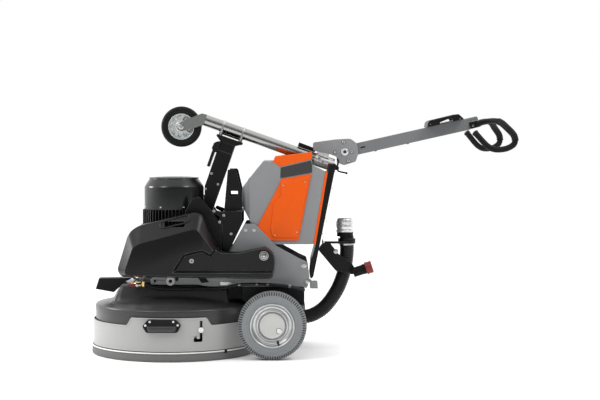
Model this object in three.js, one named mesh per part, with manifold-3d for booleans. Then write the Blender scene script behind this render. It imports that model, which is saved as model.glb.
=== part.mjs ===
// A walk-behind planetary floor grinder, in millimetres.
// +Z is up, -X is the front (grinding head), +X the rear (handlebars), -Y the machine's left side.
// The origin is on the floor, under the middle of the machine.
import * as THREE from "three";
import { mergeVertices } from "three/addons/utils/BufferGeometryUtils.js";
import Module from "manifold-3d";

const wasm = await Module();
wasm.setup();

// ---------------------------------------------------------------- driving dimensions
const GAP = 0.4; // between separate pieces that touch on the real machine

const HEAD_X = -660; // axis of the grinding head
const SKIRT_R = 426;
const SKIRT_TOP = 50;
const RING_R = 418;
const RING_WALL = 4;
const RING_TOP = 218; // raised sections at both sides
const RING_LOW = 178; // the rest of the rim
const COVER_R = 408;
const COVER_BOTTOM = 166;
const COVER_SHOULDER = 256;
const COVER_TOP = 358;

const DISC_R = 135;
const DISC_ORBIT = 215; // spindle axis to head axis
const DRUM_R = 372;
const SPINDLE_R = 20;
const PULLEY_R = 45;
const SUN_R = 150;

const MOTOR_FIN_R = 163;
const MOTOR_BASE = 373;
const MOTOR_FIN_TOP = 741;
const COWL_R = 154;
const COWL_TOP = 905;
const COWL_SHOULDER = 860;

const WHEEL_R = 172.5;
const WHEEL_X = -146;
const WHEEL_INNER_Y = 290;
const WHEEL_OUTER_Y = 370;
const RIM_R = 110;

const PLATE_Y = [166, 174]; // chassis side plates
const YOKE_Y = [175, 183]; // yoke cheeks, outside the side plates
const WEIGHT_INNER_Y = 190;
const WEIGHT_EDGE_Y = 285;
const WEIGHT_OUTER_Y = 340;
const WEIGHT_PIVOT = [-188, 522];
const SHAFT_R = 16;
const ARM_INNER_Y = 250; // the weights' arms are cut away inside this

const TUBE_R = 30.15; // 60.3 mm tube
const TUBE_FRONT = [-498, 1200.5];
const TUBE_SLOPE = THREE.MathUtils.degToRad(19.4); // falls towards the rear
const TUBE_LENGTH = 700;
const SLEEVE_R = 33.6;
const SLEEVE = [602, 704]; // along the tube, from its front end
const MAST_FROM_FRONT = 152; // along the tube, to the mast's centre
const MAST_W = 80;
const MAST_HALF_Y = 45;

const SUPPORT_WHEEL = [-620.5, 1167];
const SUPPORT_R = 105;

const CABINET_Y = 158;
const REAR_LEAN = 0.168; // the back leans this much per unit of height
const HANDLE_PIVOT = [226, 1037];
const HANDLE_SLOPE = THREE.MathUtils.degToRad(12.6);
const ARM_LENGTH = 708;
const ARM_HEIGHT = 60;
const ARM_HALF_Y = 30;
const PLATE_GAP = 68; // between the two joint plates
const JOINT_PLATE = 8;
const BAR_R = 15;

const HOSE_R = 38;
const HOSE_PORT = [-302, 304]; // where the suction hose leaves the cover

// ---------------------------------------------------------------- colours
const COLOURS = {
  grey: [0x7c7e80, 0.45, 0.3],
  lightGrey: [0xa6a7a6, 0.45, 0.2],
  black: [0x232323, 0.5, 0.1],
  charcoal: [0x3a3b3c, 0.55, 0.0],
  orange: [0xd5500f, 0.45, 0.0],
  steel: [0xb9bab8, 0.3, 0.9],
  chrome: [0xdadbd8, 0.12, 1.0],
  rubber: [0x1c1c1c, 0.85, 0.0],
  greyTyre: [0x70777a, 0.8, 0.0],
  greySkirt: [0x82837f, 0.75, 0.0],
  brass: [0xd9c08a, 0.35, 0.9],
  red: [0xb0281c, 0.4, 0.0],
  castIron: [0x303132, 0.6, 0.4],
};

function finish(name) {
  const [color, roughness, metalness] = COLOURS[name];
  return new THREE.MeshStandardMaterial({ color, roughness, metalness });
}

// ---------------------------------------------------------------- solids
const part = new THREE.Group();

// A geometry as a manifold-3d solid, turned inside out if its faces point inwards.
function solid(geometry) {
  const bare = geometry.index ? geometry.toNonIndexed() : geometry.clone();
  const only = new THREE.BufferGeometry();
  only.setAttribute("position", bare.getAttribute("position"));
  const merged = mergeVertices(only, 1e-3);
  const make = (triVerts) =>
    new wasm.Manifold(
      new wasm.Mesh({ numProp: 3, vertProperties: merged.attributes.position.array, triVerts }),
    );
  const triVerts = new Uint32Array(merged.index.array);
  const made = make(triVerts);
  if (made.volume() >= 0) return made;
  for (let i = 0; i < triVerts.length; i += 3)
    [triVerts[i + 1], triVerts[i + 2]] = [triVerts[i + 2], triVerts[i + 1]];
  return make(triVerts);
}

// Adds a solid to the part as a named mesh.
function add(name, made, colour) {
  const { numProp, vertProperties, triVerts, numVert } = made.getMesh();
  const position = new Float32Array(numVert * 3);
  for (let i = 0; i < numVert; i++)
    position.set(vertProperties.subarray(i * numProp, i * numProp + 3), i * 3);
  const geometry = new THREE.BufferGeometry();
  geometry.setAttribute("position", new THREE.BufferAttribute(position, 3));
  geometry.setIndex(new THREE.BufferAttribute(new Uint32Array(triVerts), 1));
  geometry.computeVertexNormals();
  const mesh = new THREE.Mesh(geometry, finish(colour));
  mesh.name = name;
  part.add(mesh);
}

function union(...pieces) {
  return pieces.reduce((a, b) => a.add(b));
}

function cut(body, ...tools) {
  return tools.reduce((a, b) => a.subtract(b), body);
}

// A box between two corners.
function box(x0, y0, z0, x1, y1, z1) {
  const geometry = new THREE.BoxGeometry(x1 - x0, y1 - y0, z1 - z0);
  return solid(geometry.translate((x0 + x1) / 2, (y0 + y1) / 2, (z0 + z1) / 2));
}

// A closed outline with each corner rounded to radius r, as a THREE.Shape.
function roundedShape(points, r) {
  const shape = new THREE.Shape();
  const v = points.map(([x, y]) => new THREE.Vector2(x, y));
  v.forEach((corner, i) => {
    const before = v[(i + v.length - 1) % v.length];
    const after = v[(i + 1) % v.length];
    const reach = Math.min(r, corner.distanceTo(before) * 0.45, corner.distanceTo(after) * 0.45);
    const start = corner.clone().lerp(before, reach / corner.distanceTo(before));
    const end = corner.clone().lerp(after, reach / corner.distanceTo(after));
    if (i === 0) shape.moveTo(start.x, start.y);
    else shape.lineTo(start.x, start.y);
    if (r > 0) shape.quadraticCurveTo(corner.x, corner.y, end.x, end.y);
  });
  shape.closePath();
  return shape;
}

function circle(x, y, r, sides) {
  return Array.from({ length: sides }, (_, i) => {
    const angle = (2 * Math.PI * i) / sides;
    return new THREE.Vector2(x + r * Math.cos(angle), y + r * Math.sin(angle));
  });
}

// A plate standing in the XZ plane, between y0 and y1. Points are [x, z].
function plate(points, y0, y1, r = 0, holes = []) {
  const shape = roundedShape(points, r);
  for (const [x, z, radius] of holes) {
    shape.holes.push(new THREE.Path(circle(x, z, radius, 10)));
  }
  const geometry = new THREE.ExtrudeGeometry(shape, {
    depth: y1 - y0,
    bevelEnabled: false,
    curveSegments: 2,
  });
  return solid(geometry.rotateX(Math.PI / 2).translate(0, y1, 0));
}

// A slab lying flat, between z0 and z1. Points are [x, y].
function slab(points, z0, z1, r = 0) {
  const geometry = new THREE.ExtrudeGeometry(roundedShape(points, r), {
    depth: z1 - z0,
    bevelEnabled: false,
    curveSegments: 2,
  });
  return solid(geometry.translate(0, 0, z0));
}

// A turned solid about a vertical axis at (x, y). The profile is [radius, z].
function turned(profile, x, y, segments = 32) {
  const points = profile.map(([r, z]) => new THREE.Vector2(r, z));
  const geometry = new THREE.LatheGeometry(points, segments);
  return solid(geometry.rotateX(Math.PI / 2).translate(x, y, 0));
}

// A turned solid about an axis along Y through (x, z). The profile is [radius, y].
function turnedY(profile, x, z, segments = 28) {
  const points = profile.map(([r, y]) => new THREE.Vector2(r, y));
  return solid(new THREE.LatheGeometry(points, segments).translate(x, 0, z));
}

// A cylinder from point a to point b.
function rod(a, b, r, segments = 12) {
  const from = new THREE.Vector3(...a);
  const to = new THREE.Vector3(...b);
  const along = to.clone().sub(from);
  const geometry = new THREE.CylinderGeometry(r, r, along.length(), segments);
  const turn = new THREE.Quaternion().setFromUnitVectors(
    new THREE.Vector3(0, 1, 0),
    along.clone().normalize(),
  );
  geometry.applyQuaternion(turn).translate(...from.add(to).multiplyScalar(0.5).toArray());
  return solid(geometry);
}

// A round bar along a smooth curve through the points.
function bar(points, r, sides = 10, steps = 30) {
  const curve = new THREE.CatmullRomCurve3(
    points.map((p) => new THREE.Vector3(...p)),
    false,
    "centripetal",
  );
  const geometry = new THREE.ExtrudeGeometry(new THREE.Shape(circle(0, 0, r, sides)), {
    steps,
    extrudePath: curve,
  });
  return solid(geometry);
}

// A solid skinned over outlines of equal point count; place turns (u, v, level) into a point.
function loft(levels, place) {
  const n = levels[0].outline.length;
  const rings = levels.map(({ at, outline }) => outline.map(([u, v]) => place(u, v, at)));
  const faces = [];
  for (let k = 0; k + 1 < rings.length; k++)
    for (let i = 0; i < n; i++) {
      const j = (i + 1) % n;
      faces.push([rings[k][i], rings[k][j], rings[k + 1][j]]);
      faces.push([rings[k][i], rings[k + 1][j], rings[k + 1][i]]);
    }
  const flat = (outline) => outline.map(([u, v]) => new THREE.Vector2(u, v));
  const first = rings[0];
  const last = rings[rings.length - 1];
  for (const [a, b, c] of THREE.ShapeUtils.triangulateShape(flat(levels[0].outline), []))
    faces.push([first[a], first[c], first[b]]);
  for (const [a, b, c] of THREE.ShapeUtils.triangulateShape(flat(levels.at(-1).outline), []))
    faces.push([last[a], last[b], last[c]]);
  const position = new Float32Array(faces.flat(2));
  const geometry = new THREE.BufferGeometry();
  geometry.setAttribute("position", new THREE.BufferAttribute(position, 3));
  return solid(geometry);
}

// Points of a rounded rectangle, for lofts: always 4 * (steps + 1) points.
function roundedRectangle(x0, y0, x1, y1, r, steps = 4) {
  const corners = [
    [x1 - r, y1 - r, 0],
    [x0 + r, y1 - r, 1],
    [x0 + r, y0 + r, 2],
    [x1 - r, y0 + r, 3],
  ];
  return corners.flatMap(([cx, cy, quarter]) =>
    Array.from({ length: steps + 1 }, (_, i) => {
      const angle = (quarter + i / steps) * (Math.PI / 2);
      return [cx + r * Math.cos(angle), cy + r * Math.sin(angle)];
    }),
  );
}

const mirrorY = (made) => made.mirror([0, 1, 0]);
const SIDES = [
  ["left", (made) => made],
  ["right", mirrorY],
];

// Points along and across the sloping top tube: s from its front end, h above its axis.
const tubePoint = (s, h = 0) => [
  TUBE_FRONT[0] + s * Math.cos(TUBE_SLOPE) + h * Math.sin(TUBE_SLOPE),
  TUBE_FRONT[1] - s * Math.sin(TUBE_SLOPE) + h * Math.cos(TUBE_SLOPE),
];

// Points along and across the handle arm: s from the pivot, h above its middle line.
const armPoint = (s, h = 0) => [
  HANDLE_PIVOT[0] + s * Math.cos(HANDLE_SLOPE) - h * Math.sin(HANDLE_SLOPE),
  HANDLE_PIVOT[1] + s * Math.sin(HANDLE_SLOPE) + h * Math.cos(HANDLE_SLOPE),
];

// ---------------------------------------------------------------- grinding head
// The floating shroud: a sheet ring that slides up and down on the head, and its rubber skirt.
function shroud() {
  const inner = RING_R - RING_WALL;
  let ring = turned(
    [
      [inner, SKIRT_TOP + GAP],
      [RING_R, SKIRT_TOP + GAP],
      [RING_R, RING_TOP],
      [inner, RING_TOP],
      [inner, SKIRT_TOP + GAP],
    ],
    HEAD_X,
    0,
    36,
  );
  // The rim drops from RING_TOP to RING_LOW away from the two sides.
  const halfTop = THREE.MathUtils.degToRad(26);
  const halfLow = THREE.MathUtils.degToRad(31);
  const far = RING_R + 20;
  for (const sign of [-1, 1]) {
    const fan = (half) => Math.sin(half) * RING_R;
    const lowered = [
      [HEAD_X + sign * fan(halfLow), RING_LOW],
      [HEAD_X + sign * far, RING_LOW],
      [HEAD_X + sign * far, RING_TOP + 10],
      [HEAD_X + sign * (fan(halfTop) - 3), RING_TOP + 10],
    ];
    ring = cut(ring, plate(lowered, -far, far));
  }
  // The J-shaped slot of the height lock, on both sides.
  const slotX = HEAD_X + 172;
  for (const side of [-1, 1]) {
    const y0 = side < 0 ? -far : 300;
    const y1 = side < 0 ? -300 : far;
    ring = cut(ring, box(slotX - 6.5, y0, 99, slotX + 6.5, y1, 203));
    ring = cut(ring, box(slotX - 32, y0, 99, slotX - 6, y1, 126));
  }
  add("shroud_ring", ring, "lightGrey");

  const skirt = turned(
    [
      [402, 0],
      [SKIRT_R - 6, 0],
      [SKIRT_R, 8],
      [SKIRT_R, SKIRT_TOP - 8],
      [RING_R + 1, SKIRT_TOP],
      [402, SKIRT_TOP],
      [402, 0],
    ],
    HEAD_X,
    0,
    36,
  );
  add("dust_skirt", skirt, "greySkirt");

  // A pressed grip plate on each side, standing off the ring.
  const gripX = HEAD_X - 31;
  const gripOutline = [
    [gripX - 96, 182],
    [gripX - 68, 214],
    [gripX + 68, 214],
    [gripX + 96, 186],
    [gripX + 78, 149],
    [gripX - 76, 149],
  ];
  const ringOutside = turned(
    [
      [0, 100],
      [RING_R + GAP, 100],
      [RING_R + GAP, 250],
      [0, 250],
    ],
    HEAD_X,
    0,
    36,
  );
  const pocket = box(gripX - 60, -436, 140, gripX + 60, -400, 200);
  const grip = cut(plate(gripOutline, -440, -380, 6), ringOutside, pocket);
  for (const [side, place] of SIDES) add(`shroud_grip_${side}`, place(grip), "black");
}

// The moulded cover over the head, with the hump that reaches up under the chassis.
function headCover() {
  const wall = 6;
  const outer = turned(
    [
      [0, COVER_BOTTOM],
      [COVER_R, COVER_BOTTOM],
      [COVER_R, COVER_SHOULDER - 14],
      [COVER_R - 12, COVER_SHOULDER],
      [330, 273],
      [200, 296],
      [0, 296],
    ],
    HEAD_X,
    0,
    32,
  );
  const inner = turned(
    [
      [0, COVER_BOTTOM - 1],
      [COVER_R - wall, COVER_BOTTOM - 1],
      [COVER_R - wall, COVER_SHOULDER - 18],
      [COVER_R - 20, COVER_SHOULDER - 8],
      [200, 286],
      [0, 286],
    ],
    HEAD_X,
    0,
    32,
  );
  const inwards = ([x0, y0, x1, y1], inset, r) =>
    roundedRectangle(x0 + inset, y0 + inset, x1 - inset, y1 - inset, r, 3);
  const hump = (inset, zTop, zBottom) =>
    loft(
      [
        { at: zBottom, outline: inwards([-331, -205, 300, 205], inset, 110) },
        { at: zTop, outline: inwards([-256, -158, 270, 158], inset, 80) },
      ],
      (u, v, at) => [HEAD_X + u, v, at],
    );
  const shell = union(outer, hump(0, COVER_TOP, 264));
  const hubHole = rod([HEAD_X, 0, 280], [HEAD_X, 0, 400], 122, 24);
  const [portX, portZ] = HOSE_PORT;
  const port = rod([portX - 48, 0, portZ - 30], [portX, 0, portZ], HOSE_R + 3, 16);
  const portBore = rod([portX - 96, 0, portZ - 60], [portX + 16, 0, portZ + 10], HOSE_R - 4, 14);
  const hollow = union(inner, hump(wall, COVER_TOP - wall, 240));
  add("head_cover", cut(union(shell, port), hollow, hubHole, portBore), "charcoal");
}

const DISC_ANGLES = [90, 210, 330].map((a) => THREE.MathUtils.degToRad(a));
const discCentre = (angle, orbit = DISC_ORBIT) => [
  HEAD_X + orbit * Math.cos(angle),
  orbit * Math.sin(angle),
];

// The rotating drum, its belt, and the three tool discs that hang from it.
function planetaryDrum() {
  const wall = 14;
  const drum = turned(
    [
      [62, 110],
      [DRUM_R, 110],
      [DRUM_R, 228],
      [62, 228],
      [62, 228 - wall],
      [DRUM_R - wall, 228 - wall],
      [DRUM_R - wall, 110 + wall],
      [62, 110 + wall],
      [62, 110],
    ],
    HEAD_X,
    0,
    24,
  );
  const spindleHoles = DISC_ANGLES.map((a) => {
    const [x, y] = discCentre(a);
    return rod([x, y, 100], [x, y, 130], SPINDLE_R + 4, 14);
  });
  add("planet_drum", cut(drum, ...spindleHoles), "steel");

  // One flat belt round the three spindle pulleys and over the sun pulley between them.
  const beltZ = [142, 174];
  const loop = (r) => {
    const points = DISC_ANGLES.flatMap((a) => {
      const [x, y] = discCentre(a);
      return Array.from({ length: 5 }, (_, i) => {
        const turn = a + THREE.MathUtils.degToRad(-60 + 30 * i);
        return [x + r * Math.cos(turn), y + r * Math.sin(turn)];
      });
    });
    return slab(points, ...beltZ);
  };
  add("planet_belt", cut(loop(PULLEY_R + 9), loop(PULLEY_R + 3)), "rubber");

  DISC_ANGLES.forEach((a, i) => {
    const [x, y] = discCentre(a);
    const plateAndSpindle = turned(
      [
        [0, 20],
        [DISC_R, 20],
        [DISC_R, 34],
        [50, 40],
        [50, 96],
        [SPINDLE_R, 96],
        [SPINDLE_R, 136],
        [PULLEY_R, 136],
        [PULLEY_R, 180],
        [0, 180],
      ],
      x,
      y,
      14,
    );
    const segments = Array.from({ length: 4 }, (_, k) => {
      const turn = (k * Math.PI) / 2;
      const lug = new THREE.BoxGeometry(34, 14, 22);
      lug.translate(DISC_R - 24, 0, 11).rotateZ(turn).translate(x, y, 0);
      return solid(lug);
    });
    add(`tool_disc_${i + 1}`, union(plateAndSpindle, ...segments), "steel");
  });
}

// ---------------------------------------------------------------- motor
function motor() {
  const fins = 24;
  const valley = MOTOR_FIN_R - 26;
  const outline = Array.from({ length: fins }, (_, k) => {
    const step = (2 * Math.PI) / fins;
    return [
      [MOTOR_FIN_R, 0],
      [MOTOR_FIN_R, 0.22],
      [valley, 0.4],
      [valley, 0.82],
    ].map(([r, share]) => [
      HEAD_X + r * Math.cos((k + share) * step),
      r * Math.sin((k + share) * step),
    ]);
  }).flat();
  const base = MOTOR_BASE + 18;
  const flange = rod([HEAD_X, 0, MOTOR_BASE], [HEAD_X, 0, base + 1], MOTOR_FIN_R, 24);
  const bore = rod([HEAD_X, 0, base], [HEAD_X, 0, MOTOR_FIN_TOP + 5], 104, 20);
  const shaftHole = rod([HEAD_X, 0, MOTOR_BASE - 5], [HEAD_X, 0, base + 5], 30, 14);
  add("motor_body", cut(union(slab(outline, base, MOTOR_FIN_TOP), flange), bore, shaftHole), "black");

  const wall = 3;
  const cowlBottom = MOTOR_FIN_TOP + GAP;
  const shell = turned(
    [
      [COWL_R - wall, cowlBottom],
      [COWL_R, cowlBottom],
      [COWL_R, COWL_SHOULDER],
      [126, COWL_TOP - 6],
      [126, COWL_TOP],
      [0, COWL_TOP],
      [0, COWL_TOP - wall],
      [122, COWL_TOP - wall - 4],
      [COWL_R - wall, COWL_SHOULDER - 2],
      [COWL_R - wall, cowlBottom],
    ],
    HEAD_X,
    0,
    24,
  );
  const slots = Array.from({ length: 8 }, (_, k) => {
    const slot = new THREE.BoxGeometry(66, 12, 30);
    return solid(slot.translate(74, 0, COWL_TOP).rotateZ((k * Math.PI) / 4).translate(HEAD_X, 0, 0));
  });
  add("motor_cowl", cut(shell, ...slots), "charcoal");

  // Rotor core and shaft; the shaft runs down through the hub into the drum.
  const core = rod([HEAD_X, 0, 430], [HEAD_X, 0, 690], 96, 20);
  const shaft = rod([HEAD_X, 0, 142], [HEAD_X, 0, 842], 22, 12);
  const sunPulley = rod([HEAD_X, 0, 138], [HEAD_X, 0, 178], SUN_R, 24);
  add("motor_rotor", union(core, shaft, sunPulley), "steel");

  const hub = turned(
    [
      [24, 768],
      [44, 768],
      [44, 822],
      [24, 822],
      [24, 768],
    ],
    HEAD_X,
    0,
    14,
  );
  const disc = turned(
    [
      [40, 768],
      [128, 768],
      [128, 773],
      [40, 773],
      [40, 768],
    ],
    HEAD_X,
    0,
    20,
  );
  const blades = Array.from({ length: 6 }, (_, k) => {
    const blade = new THREE.BoxGeometry(86, 4, 46);
    return solid(blade.translate(84, 0, 794).rotateZ((k * Math.PI) / 3).translate(HEAD_X, 0, 0));
  });
  add("motor_fan", union(hub, disc, ...blades), "charcoal");
}

// ---------------------------------------------------------------- chassis
function chassis() {
  const sidePlate = [
    [-768, 362],
    [-768, 388],
    [-752, 404],
    [-470, 404],
    [-430, 430],
    [-361, 542],
    [-288, 672],
    [-236, 672],
    [-128, 560],
    [-8, 494],
    [28, 478],
    [38, 436],
    [42, 398],
    [36, 360],
    [26, 342],
    [0, 352],
    [-470, 352],
    [-535, 362],
  ];
  const holes = [
    [-746, 380, 7],
    [-635, 388, 9],
    [-500, 384, 15],
  ];
  const [y0, y1] = PLATE_Y;
  const [shaftX, shaftZ] = WEIGHT_PIVOT;
  const shaftHole = rod([shaftX, -200, shaftZ], [shaftX, 0, shaftZ], SHAFT_R + 2 * GAP, 16);
  const near = cut(plate(sidePlate, -y1, -y0, 5, holes), shaftHole);
  for (const [side, place] of SIDES) add(`chassis_plate_${side}`, place(near), "grey");

  const deck = slab(
    [
      [-862, -150],
      [-862, 150],
      [-768, y0 - GAP],
      [30, y0 - GAP],
      [30, -y0 + GAP],
      [-768, -y0 + GAP],
    ],
    360.5,
    MOTOR_BASE - GAP,
  );
  // The welded hub that carries the drum, with room for the motor's shaft down its middle.
  const hub = turned(
    [
      [0, 232],
      [100, 232],
      [112, 250],
      [112, MOTOR_BASE - GAP],
      [0, MOTOR_BASE - GAP],
    ],
    HEAD_X,
    0,
    24,
  );
  const shaftRoom = rod([HEAD_X, 0, 200], [HEAD_X, 0, 400], 45, 16);
  add("chassis_deck", cut(union(deck, hub), shaftRoom), "black");

  // A welded box across the rear with the two stub axles; it is arched over the suction hose.
  const rear = plate(
    [
      [-300, 278],
      [-300, 352],
      [-292, 360],
      [16, 360],
      [16, 255],
      [-240, 255],
    ],
    -y0 + GAP,
    y0 - GAP,
  );
  const arch = box(-310, -56, 240, 40, 56, 354);
  const hanger = plate(
    [
      [-230, 256],
      [-62, 256],
      [-110, 140],
      [-182, 140],
    ],
    -y0 + GAP,
    -130,
    12,
  );
  const stub = rod([WHEEL_X, -358, WHEEL_R], [WHEEL_X, -131, WHEEL_R], 14, 14);
  const collar = rod([WHEEL_X, -280, WHEEL_R], [WHEEL_X, -140, WHEEL_R], 22, 14);
  const side = union(hanger, stub, collar);
  add("axle_frame", union(cut(rear, arch), side, mirrorY(side)), "black");

  // A folded sheet guard ahead of the motor, with a flange that rests on the deck.
  const cheek = plate(
    [
      [-1067, 325],
      [-1049, 381],
      [-870, 384],
      [-908, 366],
      [-972, 308],
    ],
    -34,
    -31,
  );
  const top = plate(
    [
      [-1049, 381],
      [-1048, 378],
      [-876, 381],
      [-864, 373],
      [-846, 373],
      [-846, 376],
      [-862, 376],
      [-870, 384],
    ],
    -34,
    34,
  );
  const nose = plate(
    [
      [-1067, 325],
      [-1049, 381],
      [-1045, 381],
      [-1063, 324],
    ],
    -34,
    34,
  );
  add("front_guard", union(cheek, mirrorY(cheek), top, nose), "black");
}

// ---------------------------------------------------------------- wheels
function mainWheels() {
  const middle = -(WHEEL_INNER_Y + WHEEL_OUTER_Y) / 2;
  const half = (WHEEL_OUTER_Y - WHEEL_INNER_Y) / 2;
  const tyre = turnedY(
    [
      [RIM_R + 3, middle - half + 6],
      [145, middle - half],
      [WHEEL_R - 8, middle - half + 8],
      [WHEEL_R, middle - half + 22],
      [WHEEL_R, middle + half - 22],
      [WHEEL_R - 8, middle + half - 8],
      [145, middle + half],
      [RIM_R + 3, middle + half - 6],
      [RIM_R + 3, middle - half + 6],
    ],
    WHEEL_X,
    WHEEL_R,
    22,
  );
  // A dished pressed-steel rim on a hub tube.
  const rim = turnedY(
    [
      [15, -362],
      [62, -362],
      [72, -352],
      [88, -350],
      [94, -361],
      [RIM_R, -363],
      [RIM_R, -298],
      [RIM_R - 5, -298],
      [RIM_R - 8, -340],
      [60, -338],
      [24, -338],
      [24, -292],
      [15, -292],
      [15, -362],
    ],
    WHEEL_X,
    WHEEL_R,
    18,
  );
  for (const [side, place] of SIDES) {
    add(`tyre_${side}`, place(tyre), "greyTyre");
    add(`rim_${side}`, place(rim), "steel");
  }
}

function supportWheel() {
  const [x, z] = SUPPORT_WHEEL;
  const tyre = turnedY(
    [
      [68, -20],
      [92, -25],
      [102, -18],
      [SUPPORT_R, -8],
      [SUPPORT_R, 8],
      [102, 18],
      [92, 25],
      [68, 20],
      [68, -20],
    ],
    x,
    z,
    20,
  );
  add("support_tyre", tyre, "rubber");
  const rim = turnedY(
    [
      [9, -24],
      [22, -24],
      [26, -12],
      [54, -12],
      [60, -18],
      [67, -19],
      [67, 19],
      [60, 18],
      [54, 12],
      [26, 12],
      [22, 24],
      [9, 24],
      [9, -24],
    ],
    x,
    z,
    16,
  );
  add("support_rim", rim, "steel");

  // Two arms, the axle bolt between them, and the end plate welded to the tube.
  const arm = plate(
    [
      [x - 20, z - 12],
      [x - 8, z + 21],
      [x + 44, z + 42],
      [-512, 1236],
      [-488, 1228],
      [-504, 1176],
      [x + 46, z - 14],
      [x + 6, z - 24],
    ],
    -37,
    -31,
    7,
  );
  const axle = rod([x, -43, z], [x, 43, z], 8, 16);
  const [ex, ez] = tubePoint(-1);
  const endPlate = box(-5, -37, -30, 0, 37, 30)
    .rotate([0, THREE.MathUtils.radToDeg(TUBE_SLOPE), 0])
    .translate([ex, 0, ez]);
  add("support_fork", union(arm, mirrorY(arm), axle, endPlate), "grey");
}

// ---------------------------------------------------------------- mast and top tube
function mastAndTube() {
  const start = tubePoint(0);
  const end = tubePoint(TUBE_LENGTH);
  const outer = rod([start[0], 0, start[1]], [end[0], 0, end[1]], TUBE_R, 16);
  const before = tubePoint(4);
  const after = tubePoint(TUBE_LENGTH + 10);
  const bore = rod([before[0], 0, before[1]], [after[0], 0, after[1]], TUBE_R - 3.2, 16);
  add("top_tube", cut(outer, bore), "chrome");

  // The mast hangs square to the tube. Its foot is relieved round the motor.
  const m = MAST_FROM_FRONT;
  const half = MAST_W / 2;
  const along = (s, h) => tubePoint(m + s, h);
  const strip = (s0, s1, h0, h1) => [along(s0, h0), along(s1, h0), along(s1, h1), along(s0, h1)];
  const beam = plate(strip(-half, half, -60, -440), -MAST_HALF_Y, MAST_HALF_Y, 4);
  const head = plate(
    [
      along(-68, -46),
      along(72, -46),
      along(72, -58),
      along(62, -62),
      along(half, -76),
      along(-half, -76),
      along(-58, -62),
      along(-68, -56),
    ],
    -MAST_HALF_Y - 8,
    MAST_HALF_Y + 8,
  );
  const cradle = (s) => plate(strip(s - 9, s + 9, -TUBE_R - GAP, -47), -18, 18);
  const relief = rod([HEAD_X, 0, 300], [HEAD_X, 0, COWL_TOP + 20], MOTOR_FIN_R + 4, 28);
  const saddle = union(cradle(-52), cradle(56), plate(strip(-52, 56, -TUBE_R - GAP, -40), -18, 18));
  add("mast", cut(union(beam, head, saddle), relief), "black");

  // Cheeks on both sides of the motor, joined behind it.
  const cheek = [
    [-598, 700],
    [-588, 740],
    [-556, 798],
    [-519, 812],
    [-462, 746],
    [-403, 661],
    [-403, 560],
    [-430, 434],
    [-474, 408],
    [-560, 408],
  ];
  const [y0, y1] = YOKE_Y;
  const nearCheek = plate(cheek, -y1, -y0, 8);
  const cross = plate(
    [
      [-446, 620],
      [-440, 668],
      [-408, 650],
      [-408, 620],
    ],
    -y0 - 1,
    y0 + 1,
  );
  const beamSide = MAST_HALF_Y + GAP;
  const clearance = plate(strip(-half - 1, half + 1, -40, -450), -beamSide, beamSide);
  add("mast_yoke", union(nearCheek, mirrorY(nearCheek), cut(cross, clearance)), "black");

  // A work lamp on the front of the mast.
  const lamp = plate(
    [
      along(-half - 24, -90),
      along(-half - 10, -79),
      along(-half - 1, -79),
      along(-half - 1, -138),
      along(-half - 18, -138),
      along(-half - 30, -122),
    ],
    -58,
    58,
  );
  const shade = plate(strip(-half - 24, -half - 10, -134, -220), -40, 40);
  add("work_lamp", union(lamp, shade), "black");
}

// The lifting yoke behind the mast: two plates with a strap hole, and a cross plate.
function liftingYoke() {
  const upper = [
    [-404, 722],
    [-394, 742],
    [-376, 947],
    [-336, 947],
    [-330, 938],
    [-306, 836],
    [-300, 744],
  ];
  const arm = plate(upper, -136, -130, 4);
  const slot = box(-369, -160, 812, -324, 160, 838);
  const lower = plate(
    [
      [-404, 722],
      [-404, 735],
      [-302, 735],
      [-302, 672],
      [-368, 534],
      [-398, 540],
    ],
    -YOKE_Y[1],
    -YOKE_Y[0],
    4,
  );
  const shelf = box(-400, -YOKE_Y[1], 728, -304, YOKE_Y[1], 735);
  const both = union(arm, lower);
  add("lifting_yoke", cut(union(both, mirrorY(both), shelf), slot), "black");
}

// ---------------------------------------------------------------- swinging weights
const WEIGHT_OUTLINE = [
  [-926, 446],
  [-905, 412],
  [-146, 400],
  [-131, 472],
  [-135, 517],
  [-155, 548],
  [-197, 561],
  [-258, 548],
  [-308, 537],
  [-396, 537],
  [-426, 556],
  [-470, 653],
  [-493, 711],
  [-513, 730],
  [-540, 734],
  [-822, 668],
  [-868, 634],
];
const WEIGHT_FACE = [
  [-884, 446],
  [-878, 424],
  [-150, 408],
  [-137, 472],
  [-141, 515],
  [-159, 542],
  [-197, 554],
  [-258, 541],
  [-308, 530],
  [-398, 530],
  [-432, 540],
  [-474, 592],
  [-512, 640],
  [-524, 650],
  [-545, 653],
  [-818, 580],
  [-842, 562],
];

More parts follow.
